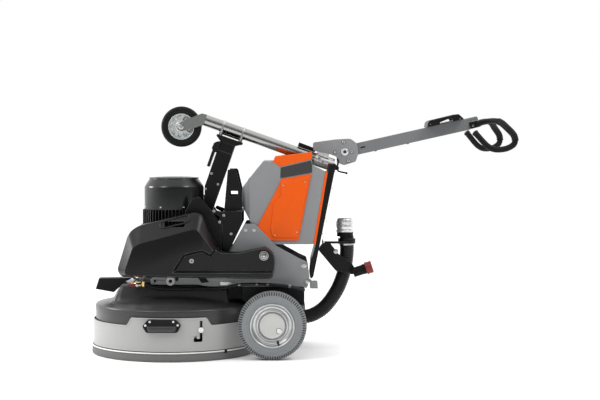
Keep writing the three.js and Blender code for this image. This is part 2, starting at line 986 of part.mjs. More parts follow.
function weights() {
  const body = loft(
    [
      { at: -WEIGHT_INNER_Y, outline: WEIGHT_OUTLINE },
      { at: -WEIGHT_EDGE_Y, outline: WEIGHT_OUTLINE },
      { at: -WEIGHT_OUTER_Y, outline: WEIGHT_FACE },
    ],
    (u, v, at) => [u, at, v],
  );
  // The carrying arm is stepped back from the face.
  const step = plate(
    [
      [-627, 448],
      [-582, 518],
      [-497, 538],
      [-452, 512],
      [-420, 560],
      [-300, 600],
      [-100, 600],
      [-100, 448],
    ],
    -WEIGHT_OUTER_Y - 20,
    -WEIGHT_OUTER_Y + 22,
    8,
  );
  // Behind the face the arm is cut away, except for the boss round the shaft.
  const relief = box(-420, -ARM_INNER_Y, 380, -100, 0, 640);
  const slot = plate(
    [
      [-687, 662],
      [-687, 692],
      [-582, 694],
      [-582, 664],
    ],
    -400,
    0,
    6,
  );
  const [px, pz] = WEIGHT_PIVOT;
  const boss = rod([px, -ARM_INNER_Y - 1, pz], [px, -WEIGHT_INNER_Y, pz], 36, 16);
  const bore = rod([px, -400, pz], [px, 0, pz], SHAFT_R + 2 * GAP, 16);
  const shaped = cut(union(cut(body, step, relief), boss), slot, bore);
  for (const [side, place] of SIDES) add(`weight_${side}`, place(shaped), "castIron");

  const shaft = rod([px, -344, pz], [px, 344, pz], SHAFT_R, 16);
  const washer = rod([px, -345, pz], [px, -WEIGHT_OUTER_Y + 22 - GAP, pz], 28, 18);
  add("weight_shaft", union(shaft, washer, mirrorY(washer)), "steel");
}

// ---------------------------------------------------------------- electrical cabinet
function cabinet() {
  // The space the sloping tube passes through, down the middle of the cabinet's top.
  const trough = (depth, height, halfY) =>
    plate(
      [
        tubePoint(330, -TUBE_R - depth),
        tubePoint(330, height),
        tubePoint(760, height),
        tubePoint(760, -TUBE_R - depth),
      ],
      -halfY,
      halfY,
    );
  const channel = trough(8, 200, 40);
  const body = [
    [-178, 566],
    [-236, 640],
    [-304, 760],
    [-304, 850],
    [-194, 991],
    [-150, 991],
    [-108, 962],
    [54, 1000],
    [58, 967],
    [122, 936],
    [60, 566],
  ];
  const inside = [
    [-170, 576],
    [-226, 648],
    [-290, 764],
    [-290, 844],
    [-196, 962],
    [-104, 940],
    [40, 940],
    [44, 920],
    [110, 920],
    [56, 576],
  ];
  const shell = plate(body, -CABINET_Y, CABINET_Y, 4);
  const hollow = plate(inside, -CABINET_Y + 3, CABINET_Y - 3);
  const rearOpening = plate(
    [
      [40, 600],
      [90, 890],
      [200, 890],
      [150, 600],
    ],
    -CABINET_Y + 20,
    CABINET_Y - 20,
  );
  // The corners of the front are chamfered.
  const corner = slab(
    [
      [-320, -CABINET_Y - 5],
      [-262, -CABINET_Y - 5],
      [-262, -CABINET_Y],
      [-304, -98],
      [-320, -98],
    ],
    560,
    1000,
  );
  const hull = cut(shell, corner, mirrorY(corner));
  const room = cut(hollow, trough(12, 190, 44), box(-330, -180, 500, -255, 180, 1000));
  add("cabinet_shell", cut(hull, room, channel, rearOpening), "grey");

  // Moulded side panels over the steel shell.
  const panel = [
    [-176, 586],
    [-232, 644],
    [-110, 876],
    [-104, 900],
    [51, 926],
    [-14, 586],
  ];
  const field = plate(panel, -CABINET_Y - 7, -CABINET_Y - GAP, 4);
  for (const [side, place] of SIDES) add(`side_panel_${side}`, place(field), "orange");

  const lid = plate(
    [
      [-140, 993],
      [-136, 1013],
      [55, 1037],
      [54, 1000.5],
      [-107, 962.5],
      [-150, 991.5],
    ],
    -CABINET_Y,
    CABINET_Y,
    4,
  );
  const top = cut(lid, channel);
  add("cabinet_lid", top, "orange");

  // The frame round the cabinet's open back, and the bolted cover over it.
  const lean = (x, z) => x + (z - 566) * REAR_LEAN;
  const strip = (x0, x1, z0, z1) => [
    [lean(x0, z0), z0],
    [lean(x1, z0), z0],
    [lean(x1, z1), z1],
    [lean(x0, z1), z1],
  ];
  const inner = CABINET_Y - 20;
  const frame = plate(strip(60 + GAP, 74 - GAP, 566, 934), -CABINET_Y, CABINET_Y, 2);
  const opening = plate(strip(50, 90, 586, 914), -inner, inner);
  add("rear_frame", cut(frame, opening), "orange");
  const cover = [
    [lean(74, 976), 976],
    [lean(109, 976), 976],
    [97, 566],
    [62, 400],
    [50, 388],
    [44, 398],
    [50, 480],
    [74, 566],
  ];
  const sleeveRoom = plate(
    [tubePoint(590, -42), tubePoint(590, 60), tubePoint(760, 60), tubePoint(760, -42)],
    -50,
    50,
  );
  add("rear_cover", cut(plate(cover, -inner - 16, inner + 16, 3), sleeveRoom), "charcoal");

  add("frequency_drive", box(-120, -120, 610, -10, 120, 880), "charcoal");
}

// ---------------------------------------------------------------- handle
function handle() {
  const [px, pz] = HANDLE_PIVOT;
  // The clamp on the rear end of the tube, and the two plates bolted to it.
  const onTube = (s) => {
    const [x, z] = tubePoint(s);
    return [x, 0, z];
  };
  const [s0, s1] = SLEEVE;
  const sleeve = rod(onTube(s0), onTube(s1), SLEEVE_R, 18);
  const lug = plate(
    [
      [140, 978],
      [176, 973],
      [197, 957],
      [193, 944],
      [180, 941],
      [140, 958],
    ],
    -42,
    -31,
    3,
  );
  const web = plate(
    [
      tubePoint(s0 + 12, 20),
      [66, 1080],
      [150, 1086],
      tubePoint(s1 - 34, 20),
    ],
    -PLATE_GAP / 2 + GAP,
    PLATE_GAP / 2 - GAP,
  );
  const bore = rod(onTube(s0 - 5), onTube(s1 + 5), TUBE_R + GAP, 16);
  add("tube_sleeve", cut(union(sleeve, lug, web), bore), "steel");

  const outline = [
    [62, 1085],
    [180, 1101],
    [256, 1105],
    [290, 1079],
    [297, 1031],
    [283, 986],
    [221, 967],
    [193, 979],
    [186, 1010],
    [149, 1025],
    [62, 1043],
  ];
  const outerY = PLATE_GAP / 2 + JOINT_PLATE;
  const near = plate(outline, -outerY, -PLATE_GAP / 2, 8, [[px, pz, 11.5]]);
  for (const [side, place] of SIDES) add(`joint_plate_${side}`, place(near), "grey");
  const bolt = rod([px, -outerY - 10, pz], [px, outerY + 10, pz], 10, 16);
  const head = rod([px, -outerY - 10, pz], [px, -outerY - GAP, pz], 17, 18);
  add("pivot_bolt", union(bolt, head, mirrorY(head)), "steel");

  const arm = plate(
    [
      armPoint(-30, -ARM_HEIGHT / 2),
      armPoint(-30, ARM_HEIGHT / 2),
      armPoint(ARM_LENGTH, ARM_HEIGHT / 2),
      armPoint(ARM_LENGTH + 4, 12),
      armPoint(ARM_LENGTH - 34, -8),
      armPoint(ARM_LENGTH - 38, -ARM_HEIGHT / 2),
    ],
    -ARM_HALF_Y,
    ARM_HALF_Y,
    5,
  );
  const armBore = rod([px, -60, pz], [px, 60, pz], 10 + GAP, 16);
  const hollow = plate(
    [
      armPoint(40, -ARM_HEIGHT / 2 + 3),
      armPoint(40, ARM_HEIGHT / 2 - 3),
      armPoint(ARM_LENGTH + 20, ARM_HEIGHT / 2 - 3),
      armPoint(ARM_LENGTH + 20, -ARM_HEIGHT / 2 + 3),
    ],
    -ARM_HALF_Y + 3,
    ARM_HALF_Y - 3,
  );
  const clampRoom = plate(
    [
      armPoint(ARM_LENGTH - 48, -40),
      armPoint(ARM_LENGTH - 48, 10),
      armPoint(ARM_LENGTH + 20, 10),
      armPoint(ARM_LENGTH + 20, -40),
    ],
    -40,
    40,
  );
  add("handle_arm", cut(arm, armBore, hollow, clampRoom), "grey");

  // The control console is a tray across the arm; its side walls guard the controls and have a window.
  const a = (s, h) => armPoint(s, ARM_HEIGHT / 2 + GAP + h);
  const profile = [a(438, 0), a(448, 25), a(460, 31), a(603, 33.5), a(611, 32), a(631, 4), a(631, 0)];
  const housing = plate(profile, -95, 95, 4);
  const gap = plate([a(506, 3), a(508, 11), a(559, 19.5), a(574, 15), a(576, 8), a(572, 3)], -200, 200, 2);
  const tray = plate([a(458, 8), a(458, 60), a(604, 60), a(604, 8)], -84, 84, 3);
  const onArm = (h) => {
    const [x, z] = a(480, h);
    return [x, 0, z];
  };
  add("control_console", cut(housing, gap, tray, rod(onArm(2), onArm(20), 11, 20)), "charcoal");
  const stop = union(rod(onArm(7.6), onArm(18), 9, 16), rod(onArm(17), onArm(28), 18, 24));
  add("emergency_stop", stop, "red");

  // The clamp at the arm's end and the two bent handlebars.
  const clamp = plate(
    [
      armPoint(ARM_LENGTH - 46, -28),
      armPoint(ARM_LENGTH - 46, 8),
      armPoint(ARM_LENGTH + 8, 8),
      armPoint(ARM_LENGTH + 8, -26),
    ],
    -44,
    44,
    4,
  );
  add("handlebar_clamp", clamp, "black");
  const path = [
    [914, -44 - GAP, 1180],
    [940, -62, 1190],
    [1003, -150, 1193],
    [1036, -226, 1162],
    [1070, -268, 1115],
    [1069, -272, 1082],
    [1036, -250, 1057],
    [978, -218, 1051],
    [946, -205, 1066],
    [882, -176, 1136],
  ];
  const nearBar = bar(path, BAR_R, 8, 22).subtract(box(860, -44 - GAP, 1130, 960, 44, 1250));
  for (const [side, place] of SIDES) add(`handlebar_${side}`, place(nearBar), "rubber");

  // The lever that locks the arm's tilt.
  const lever = [
    [176, 957],
    [186, 962],
    [196, 945],
    [232, 930],
    [230, 923],
    [190, 934],
  ];
  const stem = rod([186, -42 - GAP, 951], [186, -60, 951], 9, 16);
  add("tilt_lock_lever", union(plate(lever, -60, -52, 2), stem), "black");
}

// ---------------------------------------------------------------- suction and services
function suction() {
  const route = [
    [HOSE_PORT[0] + 3.4, 0, HOSE_PORT[1] + 2.1],
    [-284, 0, 315],
    [-240, 0, 310],
    [-160, 0, 270],
    [-70, 0, 204],
    [20, 0, 177],
    [105, 0, 212],
    [178, 0, 300],
    [222, 0, 405],
    [238, 0, 505],
    [238, 0, 597],
  ];
  add("suction_hose", bar(route, HOSE_R, 10, 20), "rubber");

  const coupling = turned(
    [
      [37, 597 + GAP],
      [43, 597 + GAP],
      [43, 630],
      [46, 634],
      [46, 650],
      [43, 654],
      [42, 691],
      [37, 691],
      [37, 597 + GAP],
    ],
    230,
    0,
    18,
  );
  const flapHinge = rod([186, -14, 668], [186, 14, 668], 6, 12);
  const ear = box(186, -10, 650, 192, 10, 668);
  add("hose_coupling", union(coupling, flapHinge, ear), "steel");
}

function services() {
  // The strut that carries the hose clamp and the power inlet.
  const strut = plate(
    [
      [104, 560],
      [142, 576],
      [196, 506],
      [262, 460],
      [282, 430],
      [262, 408],
      [180, 420],
      [88, 530],
    ],
    -56,
    -50,
    8,
  );
  const foot = box(110, -56, 540, 116, 56, 576);
  const ring = turned(
    [
      [HOSE_R + 2, 560],
      [HOSE_R + 8, 560],
      [HOSE_R + 8, 586],
      [HOSE_R + 2, 586],
      [HOSE_R + 2, 560],
    ],
    238,
    0,
    18,
  );
  const tie = box(120, -56, 562, 240, -43, 574);
  add("hose_bracket", union(strut, tie, ring, foot), "black");

  const from = [268, -84, 414];
  const to = [366, -84, 446];
  const mid = [334, -84, 435.6];
  const inletFoot = box(254, -84, 406, 282, -56.4, 428);
  add("power_inlet", union(rod(from, mid, 25, 20), rod(mid, to, 33, 20), inletFoot), "red");

  // Water valve on the deck's front edge, and the pipe it feeds along the left side.
  const valve = union(
    rod([-862, -186, 362], [-800, -186, 362], 11, 10),
    rod([-846, -186, 362], [-818, -186, 362], 15, 6),
    rod([-832, -186, 366], [-832, -157.5, 366], 7, 8),
  );
  add("water_valve", valve, "brass");
  const leverHub = rod([-832, -201.6, 362], [-832, -210, 362], 8, 10);
  add("valve_lever", union(leverHub, box(-884, -210, 356, -826, -205, 368)), "red");

  const pipe = [
    [-799, -186, 362],
    [-782, -186, 360],
    [-762, -186, 352],
    [-715, -181, 341],
    [-620, -180, 340],
    [-480, -180, 341],
    [-400, -190, 343],
    [-340, -236, 362],
    [-300, -256, 370],
    [-180, -262, 371],
    [-60, -262, 362],
    [16, -240, 341],
  ];
  add("water_pipe", bar(pipe, 8, 6, 22), "rubber");

  // The parking brake pedal behind the left wheel.
  const arm = plate(
    [
      [24, 384],
      [24, 393],
      [46, 390],
      [80, 352],
      [76, 342],
      [48, 366],
    ],
    -165,
    -160,
    3,
  );
  const tread = box(50, -165, 340, 86, -70, 345);
  const upper = box(44, -165, 368, 80, -70, 372);
  const end = box(44, -75, 341, 84, -70, 371);
  add("brake_pedal", union(arm, tread, upper, end, box(44, -165, 341, 84, -160, 371)), "steel");
}

shroud();
headCover();
planetaryDrum();
motor();
chassis();
mainWheels();
supportWheel();
mastAndTube();
liftingYoke();
weights();
cabinet();
handle();
suction();
services();

export default part;
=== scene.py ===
"""A walk-behind planetary floor grinder, dressed over its CAD frame.

Sizes here are millimetres and become metres when a mesh is made. +Z is up, -X the grinding head,
+X the operator, -Y the machine's left side, which faces the camera.
"""

import math
import functools

import bmesh
import bpy
from mathutils import Matrix, Vector


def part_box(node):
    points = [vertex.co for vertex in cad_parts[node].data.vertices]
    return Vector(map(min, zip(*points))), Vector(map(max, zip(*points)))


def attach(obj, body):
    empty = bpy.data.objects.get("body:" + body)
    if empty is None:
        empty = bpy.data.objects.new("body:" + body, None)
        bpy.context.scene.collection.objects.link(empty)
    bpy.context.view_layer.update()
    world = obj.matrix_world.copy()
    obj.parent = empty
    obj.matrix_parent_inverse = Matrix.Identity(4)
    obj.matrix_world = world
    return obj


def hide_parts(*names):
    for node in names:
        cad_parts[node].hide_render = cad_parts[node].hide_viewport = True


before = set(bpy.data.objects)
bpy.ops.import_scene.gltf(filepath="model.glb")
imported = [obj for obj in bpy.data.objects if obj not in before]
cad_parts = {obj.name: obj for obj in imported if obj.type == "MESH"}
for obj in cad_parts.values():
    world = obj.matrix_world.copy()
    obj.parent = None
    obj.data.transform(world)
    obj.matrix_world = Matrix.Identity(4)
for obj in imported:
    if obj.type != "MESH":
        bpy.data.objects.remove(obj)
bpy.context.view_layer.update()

MM = 0.001
TAU = 2 * math.pi


# ---------------------------------------------------------------- places taken from the frame
@functools.cache
def corners(node):
    """The two corners of a CAD node's box, in millimetres."""
    return tuple(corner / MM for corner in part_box(node))


def low(node):
    return corners(node)[0].copy()


def high(node):
    return corners(node)[1].copy()


def middle(node):
    return (low(node) + high(node)) / 2


HEAD = middle("dust_skirt")
WHEEL = middle("tyre_left")
SUPPORT = middle("support_tyre")
HANDLE = middle("pivot_bolt")
SHAFT = middle("weight_shaft")
TUBE_R = 30.15
SKIRT_R = (high("dust_skirt").x - low("dust_skirt").x) / 2
RING_R = (high("shroud_ring").x - low("shroud_ring").x) / 2
COVER_R = HEAD.x - low("head_cover").x
HUMP_TOP = high("head_cover").z
WHEEL_R = (high("tyre_left").z - low("tyre_left").z) / 2
SUPPORT_R = (high("support_tyre").z - low("support_tyre").z) / 2
COWL_R = (high("motor_cowl").x - low("motor_cowl").x) / 2
FIN_R = (high("motor_body").x - low("motor_body").x) / 2
TUBE_SLOPE = math.radians(19.4)
ARM_SLOPE = math.radians(12.6)
UP = (0, 0, 1)
BOTH = (-1, 1)
SIDES = (("left", -1), ("right", 1))
HEAD_FOOT = (HEAD.x, 0, 0)
PLATE_FACE = 174
LINK_BACK, LINK_FACE = 184, 190


# ---------------------------------------------------------------- materials
DRIFT_SCALE = 9
GLOSS_SCALE = 60
STREAK_SCALE = 24
WEAR_AND_SHEEN_REACH = 2.2


def feed(tree, node, inputs):
    """Sets a node's inputs, each from a value or from another node's output."""
    for socket, source in inputs.items():
        if isinstance(source, bpy.types.NodeSocket):
            tree.links.new(source, node.inputs[socket])
        else:
            node.inputs[socket].default_value = source


def add_node(tree, kind, inputs, output, **settings):
    """Adds a shader node, its settings made before its inputs, and gives one of its outputs."""
    node = tree.nodes.new(f"ShaderNode{kind}")
    for setting, value in settings.items():
        setattr(node, setting, value)
    feed(tree, node, inputs)
    return node.outputs[output]


def noise(tree, place, scale, detail):
    return add_node(tree, "TexNoise", {"Vector": place, "Scale": scale, "Detail": detail}, "Fac")


def material(name, colour, roughness, metallic=0.0, grain=0.0, grain_size=1.2, patchy=0.06,
             wear_and_sheen=None, coat=0.0, streak=None, specular=0.5):
    """A procedural finish.

    grain is the bump's height in millimetres and grain_size its spacing, patchy how much colour
    and gloss drift over the surface, wear_and_sheen the colour painted at rounded edges, which
    stands for rubbed wear and also for a painted highlight along the edges, and streak a direction
    along which the gloss is drawn out, as on brushed metal.
    """
    made = bpy.data.materials.new(name)
    made.use_nodes = True
    tree = made.node_tree
    place = add_node(tree, "TexCoord", {}, "Object")
    place = add_node(tree, "Mapping", {"Vector": place, "Scale": streak or (1, 1, 1)}, "Vector")
    drift = noise(tree, place, DRIFT_SCALE, 5)
    fine = noise(tree, place, GLOSS_SCALE if streak is None else STREAK_SCALE, 3)
    darker = (*[c * (1 - patchy) for c in colour], 1)
    lighter = (*[min(1, c * (1 + patchy)) for c in colour], 1)
    shade = add_node(tree, "Mix", {"Factor": drift, "A": darker, "B": lighter}, "Result", data_type="RGBA")
    gloss = add_node(tree, "MapRange", {"Value": fine, "To Min": roughness * (1 - 2 * patchy),
                                        "To Max": min(1.0, roughness * (1 + 2 * patchy))}, "Result")
    # Rounded edges are painted lighter: partly rubbed wear, partly a painted highlight along the edges.
    if wear_and_sheen is not None:
        softened = add_node(tree, "Bevel", {"Radius": WEAR_AND_SHEEN_REACH * MM}, "Normal", samples=4)
        plain = add_node(tree, "NewGeometry", {}, "Normal")
        match = add_node(tree, "VectorMath", {0: softened, 1: plain}, "Value", operation="DOT_PRODUCT")
        edge = add_node(tree, "MapRange", {"Value": match, "From Min": 0.985, "From Max": 0.86}, "Result")
        rubbed_and_sheen = add_node(tree, "Math", {0: edge, 1: drift}, "Value", operation="MULTIPLY")
        shade = add_node(tree, "Mix", {"Factor": rubbed_and_sheen, "A": shade, "B": (*wear_and_sheen, 1)}, "Result",
                         data_type="RGBA")
    shader = tree.nodes["Principled BSDF"]
    feed(tree, shader, {"Base Color": shade, "Roughness": gloss, "Metallic": metallic,
                        "Coat Weight": coat, "Coat Roughness": 0.15, "Specular IOR Level": specular})
    if grain:
        pits = noise(tree, place, 1 / (grain_size * MM), 2)
        bump = add_node(tree, "Bump", {"Height": pits, "Distance": grain * MM, "Strength": 0.6}, "Normal")
        feed(tree, shader, {"Normal": bump})
    return made


GREY_PAINT = material("grey_paint", (0.215, 0.221, 0.227), 0.42, grain=0.05, grain_size=1.5,
                      wear_and_sheen=(0.42, 0.42, 0.41), specular=0.35)
RING_PAINT = material("ring_paint", (0.355, 0.358, 0.352), 0.40, grain=0.04, grain_size=1.8,
                      patchy=0.04, wear_and_sheen=(0.52, 0.52, 0.51), specular=0.35)
# Its light edge colour is mostly a painted highlight along the edges of the black parts.
BLACK_PAINT = material("black_paint", (0.0042, 0.0042, 0.0046), 0.40, grain=0.04, grain_size=1.0,
                       patchy=0.04, wear_and_sheen=(0.30, 0.30, 0.30), specular=0.18)
COVER_PLASTIC = material("cover_plastic", (0.036, 0.036, 0.037), 0.30, patchy=0.015, specular=0.36)
# Its light edge colour is a painted highlight along the weights' bevel edges.
WEIGHT_PLASTIC = material("weight_plastic", (0.0050, 0.0050, 0.0050), 0.33, grain=0.03,
                          grain_size=0.9, patchy=0.02, wear_and_sheen=(0.40, 0.40, 0.40), specular=0.26)
MOTOR_PAINT = material("motor_paint", (0.006, 0.0062, 0.0068), 0.38, grain=0.08, grain_size=2.0,
                       wear_and_sheen=(0.05, 0.05, 0.05), specular=0.3)
COWL_PAINT = material("cowl_paint", (0.0050, 0.0054, 0.0060), 0.24, patchy=0.03,
                      wear_and_sheen=(0.06, 0.06, 0.06), specular=0.5)
ZINC = material("zinc_plate", (0.50, 0.50, 0.49), 0.30, metallic=1.0, patchy=0.10)
TUBE_STEEL = material("tube_steel", (0.34, 0.345, 0.335), 0.25, metallic=1.0, patchy=0.03)
# The handle arm's grey: the same paint as grey_paint, darkened as painted shade.
ARM_SHADED_GREY = material("arm_shaded_grey", (0.152, 0.156, 0.160), 0.42, grain=0.05, grain_size=1.5,
                     wear_and_sheen=(0.42, 0.42, 0.41), specular=0.3)
BRUSHED = material("brushed_steel", (0.52, 0.53, 0.53), 0.30, metallic=1.0, patchy=0.08,
                   streak=(1, 1, 12))
CAP_PAINT = material("cap_paint", (0.50, 0.50, 0.48), 0.36, grain=0.03, patchy=0.04, specular=0.35)
DARK_STEEL = material("dark_steel", (0.22, 0.215, 0.21), 0.34, metallic=1.0, patchy=0.12)
BOLT_STEEL = material("bolt_steel", (0.44, 0.44, 0.43), 0.30, metallic=1.0, patchy=0.12)
ORANGE = material("orange_panel", (0.70, 0.090, 0.003), 0.46, grain=0.05, grain_size=1.2,
                  patchy=0.04, wear_and_sheen=(0.80, 0.20, 0.05), specular=0.18)
SKIRT_RUBBER = material("skirt_rubber", (0.130, 0.133, 0.129), 0.62, grain=0.14, grain_size=1.6,
                        specular=0.3)
# Near-white, painted as the highlight along the skirt's rounded bead.
BEAD_PAINTED_HIGHLIGHT = material("bead_painted_highlight", (0.78, 0.78, 0.76), 0.40, grain=0.05, specular=0.4)
GREY_TYRE = material("grey_tyre", (0.200, 0.212, 0.218), 0.66, grain=0.12, grain_size=1.4,
                     patchy=0.10, specular=0.3)
# Near-black used as painted shade in grooves, gaps, sockets and recesses, and for the mast's dark seam
# line.
SEAM_AND_SHADE_BLACK = material("seam_and_shade_black", (0.050, 0.053, 0.055), 0.7, grain=0.1, specular=0.2)
CAST_ALLOY = material("cast_alloy", (0.46, 0.48, 0.48), 0.42, metallic=0.7, patchy=0.06)
BRIGHT_ALLOY = material("bright_alloy", (0.70, 0.71, 0.70), 0.27, metallic=0.6, patchy=0.04)
FORK_PAINT = material("fork_paint", (0.128, 0.133, 0.128), 0.44, grain=0.05, wear_and_sheen=(0.3, 0.3, 0.29),
                      specular=0.35)
BLACK_TYRE = material("black_tyre", (0.0050, 0.0050, 0.0050), 0.60, grain=0.12, grain_size=1.2,
                      patchy=0.1, specular=0.16)
HOSE_RUBBER = material("hose_rubber", (0.008, 0.008, 0.0085), 0.46, grain=0.08, patchy=0.12,
                       specular=0.35)
# Black rubber for grips, cuffs and screws, also used as painted shade in screw sockets, the rail's openings
# and the arm's slots.
GRIP_RUBBER_AND_SHADE = material("grip_rubber_and_shade", (0.0035, 0.0035, 0.0038), 0.50, grain=0.12, grain_size=0.7,
                       specular=0.14)
BRASS = material("brass", (0.72, 0.52, 0.24), 0.28, metallic=1.0, patchy=0.08)
DARK_RED = material("dark_red", (0.20, 0.018, 0.014), 0.38, grain=0.03, specular=0.35)
STOP_RED = material("stop_red", (0.54, 0.014, 0.010), 0.34, patchy=0.03, specular=0.4)
YELLOW = material("yellow", (0.72, 0.45, 0.02), 0.40, patchy=0.04, specular=0.35)
LAMP_LENS = material("lamp_lens", (0.70, 0.72, 0.74), 0.12, patchy=0.05, coat=0.4)
SCREEN = material("screen", (0.012, 0.016, 0.020), 0.14, patchy=0.05, coat=0.5)
DISC_STEEL = material("disc_steel", (0.36, 0.35, 0.34), 0.42, metallic=1.0, patchy=0.14)
WHITE_NYLON = material("white_nylon", (0.70, 0.70, 0.68), 0.40, patchy=0.03, specular=0.35)


# ---------------------------------------------------------------- mesh tools
SAME_POINT = 1e-3
NO_LENGTH = 1e-4
def to_object(name, mesh):
    """An object in the scene, from a bmesh in millimetres."""
    bmesh.ops.scale(mesh, vec=Vector((MM, MM, MM)), verts=mesh.verts)
    bmesh.ops.recalc_face_normals(mesh, faces=mesh.faces)
    data = bpy.data.meshes.new(name)
    mesh.to_mesh(data)
    mesh.free()
    made = bpy.data.objects.new(name, data)
    bpy.context.scene.collection.objects.link(made)
    return made


def piece(name, mesh, body, finish, stands_for=None, bevel=0.0, sharp=32):
    """A piece that rides on a body. finish is its material, or a list of them."""
    made = to_object(name, mesh)
    for one in finish if isinstance(finish, list) else [finish]:
        made.data.materials.append(one)
    soften(made, bevel, sharp)
    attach(made, body)
    if stands_for:
        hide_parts(stands_for)
    return made


def soften(made, bevel, sharp=32):
    """Smooth faces with crisp edges, and a small rounding on the edges."""
    made.data.shade_smooth()
    made.data.set_sharp_from_angle(angle=math.radians(sharp))
    if bevel:
        rounding = made.modifiers.new("rounding", "BEVEL")
        rounding.width = bevel * MM
        rounding.segments = 3
        rounding.limit_method = "ANGLE"
        rounding.angle_limit = math.radians(sharp)
        rounding.harden_normals = True
        rounding.miter_outer = "MITER_ARC"


def polar(r, angle, h=0.0):
    """The point at radius r and an angle round +Z, at height h."""
    return Vector((r * math.cos(angle), r * math.sin(angle), h))


def around(r, h, points):
    """Points that are given from the point (r, h)."""
    return [(r + dr, h + dh) for dr, dh in points]


def both_ways(half):
    """A whole profile, from the half of it that has positive heights."""
    return half + [(r, -h) for r, h in reversed(half)]


def stitch(mesh, rings, finish=0):
    """Faces round a closed chain of closed rings of vertices."""
    for here, there in zip(rings, rings[1:] + rings[:1]):
        for i in range(len(here)):
            j = (i + 1) % len(here)
            mesh.faces.new((here[i], there[i], there[j], here[j])).material_index = finish
    return mesh


def revolve(profile, centre, axis="Z", steps=96, shape=None, mesh=None):
    """Turns a closed profile of (radius, height) round an axis through centre.

    shape, if given, changes each point of it: shape(angle, r, h) gives its new (r, h).
    """
    mesh = bmesh.new() if mesh is None else mesh
    base = Vector(centre)
    rings = []
    for k in range(steps):
        angle = TAU * k / steps
        ring = []
        for r, h in profile:
            if shape:
                r, h = shape(angle, r, h)
            a, b = r * math.cos(angle), r * math.sin(angle)
            ring.append(mesh.verts.new(base + Vector({"Y": (a, h, b), "Z": (a, b, h)}[axis])))
        rings.append(ring)
    stitch(mesh, rings)
    bmesh.ops.remove_doubles(mesh, verts=mesh.verts, dist=SAME_POINT)
    bmesh.ops.dissolve_degenerate(mesh, edges=mesh.edges, dist=NO_LENGTH)
    return mesh


def rounded(points, reach, steps=4):
    """An outline with its corners rounded. reach is one distance, or one for each corner."""
    spots = [Vector((*p, 0)) for p in points]
    made = []
    for i, corner in enumerate(spots):
        before, after = spots[i - 1], spots[(i + 1) % len(spots)]
        wanted = reach[i] if isinstance(reach, (list, tuple)) else reach
        cut = min(wanted, (before - corner).length * 0.48, (after - corner).length * 0.48)
        start = corner + (before - corner).normalized() * cut
        end = corner + (after - corner).normalized() * cut
        for k in range(steps + 1):
            t = k / steps
            spot = start * (1 - t) ** 2 + corner * 2 * t * (1 - t) + end * t * t
            made.append((spot.x, spot.y))
    return made


def grown(outline, distance):
    """An outline with straight sides, each side moved outwards by a distance."""
    points = [Vector(p) for p in outline]
    turning = sum(a.cross(b) for a, b in zip(points, points[1:] + points[:1]))
    reach = math.copysign(distance, turning)
    made = []
    for i, here in enumerate(points):
        before = (here - points[i - 1]).normalized()
        after = (points[(i + 1) % len(points)] - here).normalized()
        sum_of_normals = Vector((before.y + after.y, -before.x - after.x))
        made.append(here + sum_of_normals * reach / (1 + before.dot(after)))
    return made


def skin(mesh, rings, finish=0):
    """Faces over a stack of rings of points, with a cap at each end.

    finish is one material's number, or a list with one for each band between two rings.
    """
    made = [[mesh.verts.new(p) for p in ring] for ring in rings]
    bands = finish if isinstance(finish, list) else [finish] * (len(made) - 1)
    count = len(made[0])
    for below, above, band in zip(made, made[1:], bands):
        for i in range(count):
            j = (i + 1) % count
            face = mesh.faces.new((below[i], below[j], above[j], above[i]))
            face.material_index = band
    for ring, band in ((made[0], bands[0]), (made[-1], bands[-1])):
        mesh.faces.new(ring).material_index = band
    return mesh


def slab(mesh, outline, y0, y1, finish=0):
    """A plate standing in the XZ plane. The outline's points are (x, z)."""
    return skin(mesh, [[Vector((x, y, z)) for x, z in outline] for y in (y0, y1)], finish)


def block(mesh, corner, other, finish=0, turn=None):
    """A box between two corners, turned about its middle."""
    a, b = Vector(corner), Vector(other)
    centre, half = (a + b) / 2, (b - a) / 2
    turn = turn or Matrix.Identity(3)
    rings = [[centre + turn @ Vector((sx * half.x, sy * half.y, sz * half.z))
              for sx, sy in ((-1, -1), (1, -1), (1, 1), (-1, 1))] for sz in (-1, 1)]
    return skin(mesh, rings, finish)


def smooth_path(points, steps):
    """Points along a smooth curve through the given ones."""
    knots = [Vector(p) for p in points]
    ends = [2 * knots[0] - knots[1], *knots, 2 * knots[-1] - knots[-2]]
    lengths = [(b - a).length for a, b in zip(knots, knots[1:])]
    total = sum(lengths)
    made = []
    for i, span in enumerate(lengths):
        p0, p1, p2, p3 = ends[i:i + 4]
        t0 = 0.0
        t1 = t0 + math.sqrt((p1 - p0).length)
        t2 = t1 + math.sqrt((p2 - p1).length)
        t3 = t2 + math.sqrt((p3 - p2).length)
        share = max(2, round(steps * span / total))
        for k in range(share):
            t = t1 + (t2 - t1) * k / share
            a1 = p0 * ((t1 - t) / (t1 - t0)) + p1 * ((t - t0) / (t1 - t0))
            a2 = p1 * ((t2 - t) / (t2 - t1)) + p2 * ((t - t1) / (t2 - t1))
            a3 = p2 * ((t3 - t) / (t3 - t2)) + p3 * ((t - t2) / (t3 - t2))
            b1 = a1 * ((t2 - t) / (t2 - t0)) + a2 * ((t - t0) / (t2 - t0))
            b2 = a2 * ((t3 - t) / (t3 - t1)) + a3 * ((t - t1) / (t3 - t1))
            made.append(b1 * ((t2 - t) / (t2 - t1)) + b2 * ((t - t1) / (t2 - t1)))
    made.append(knots[-1])
    return made


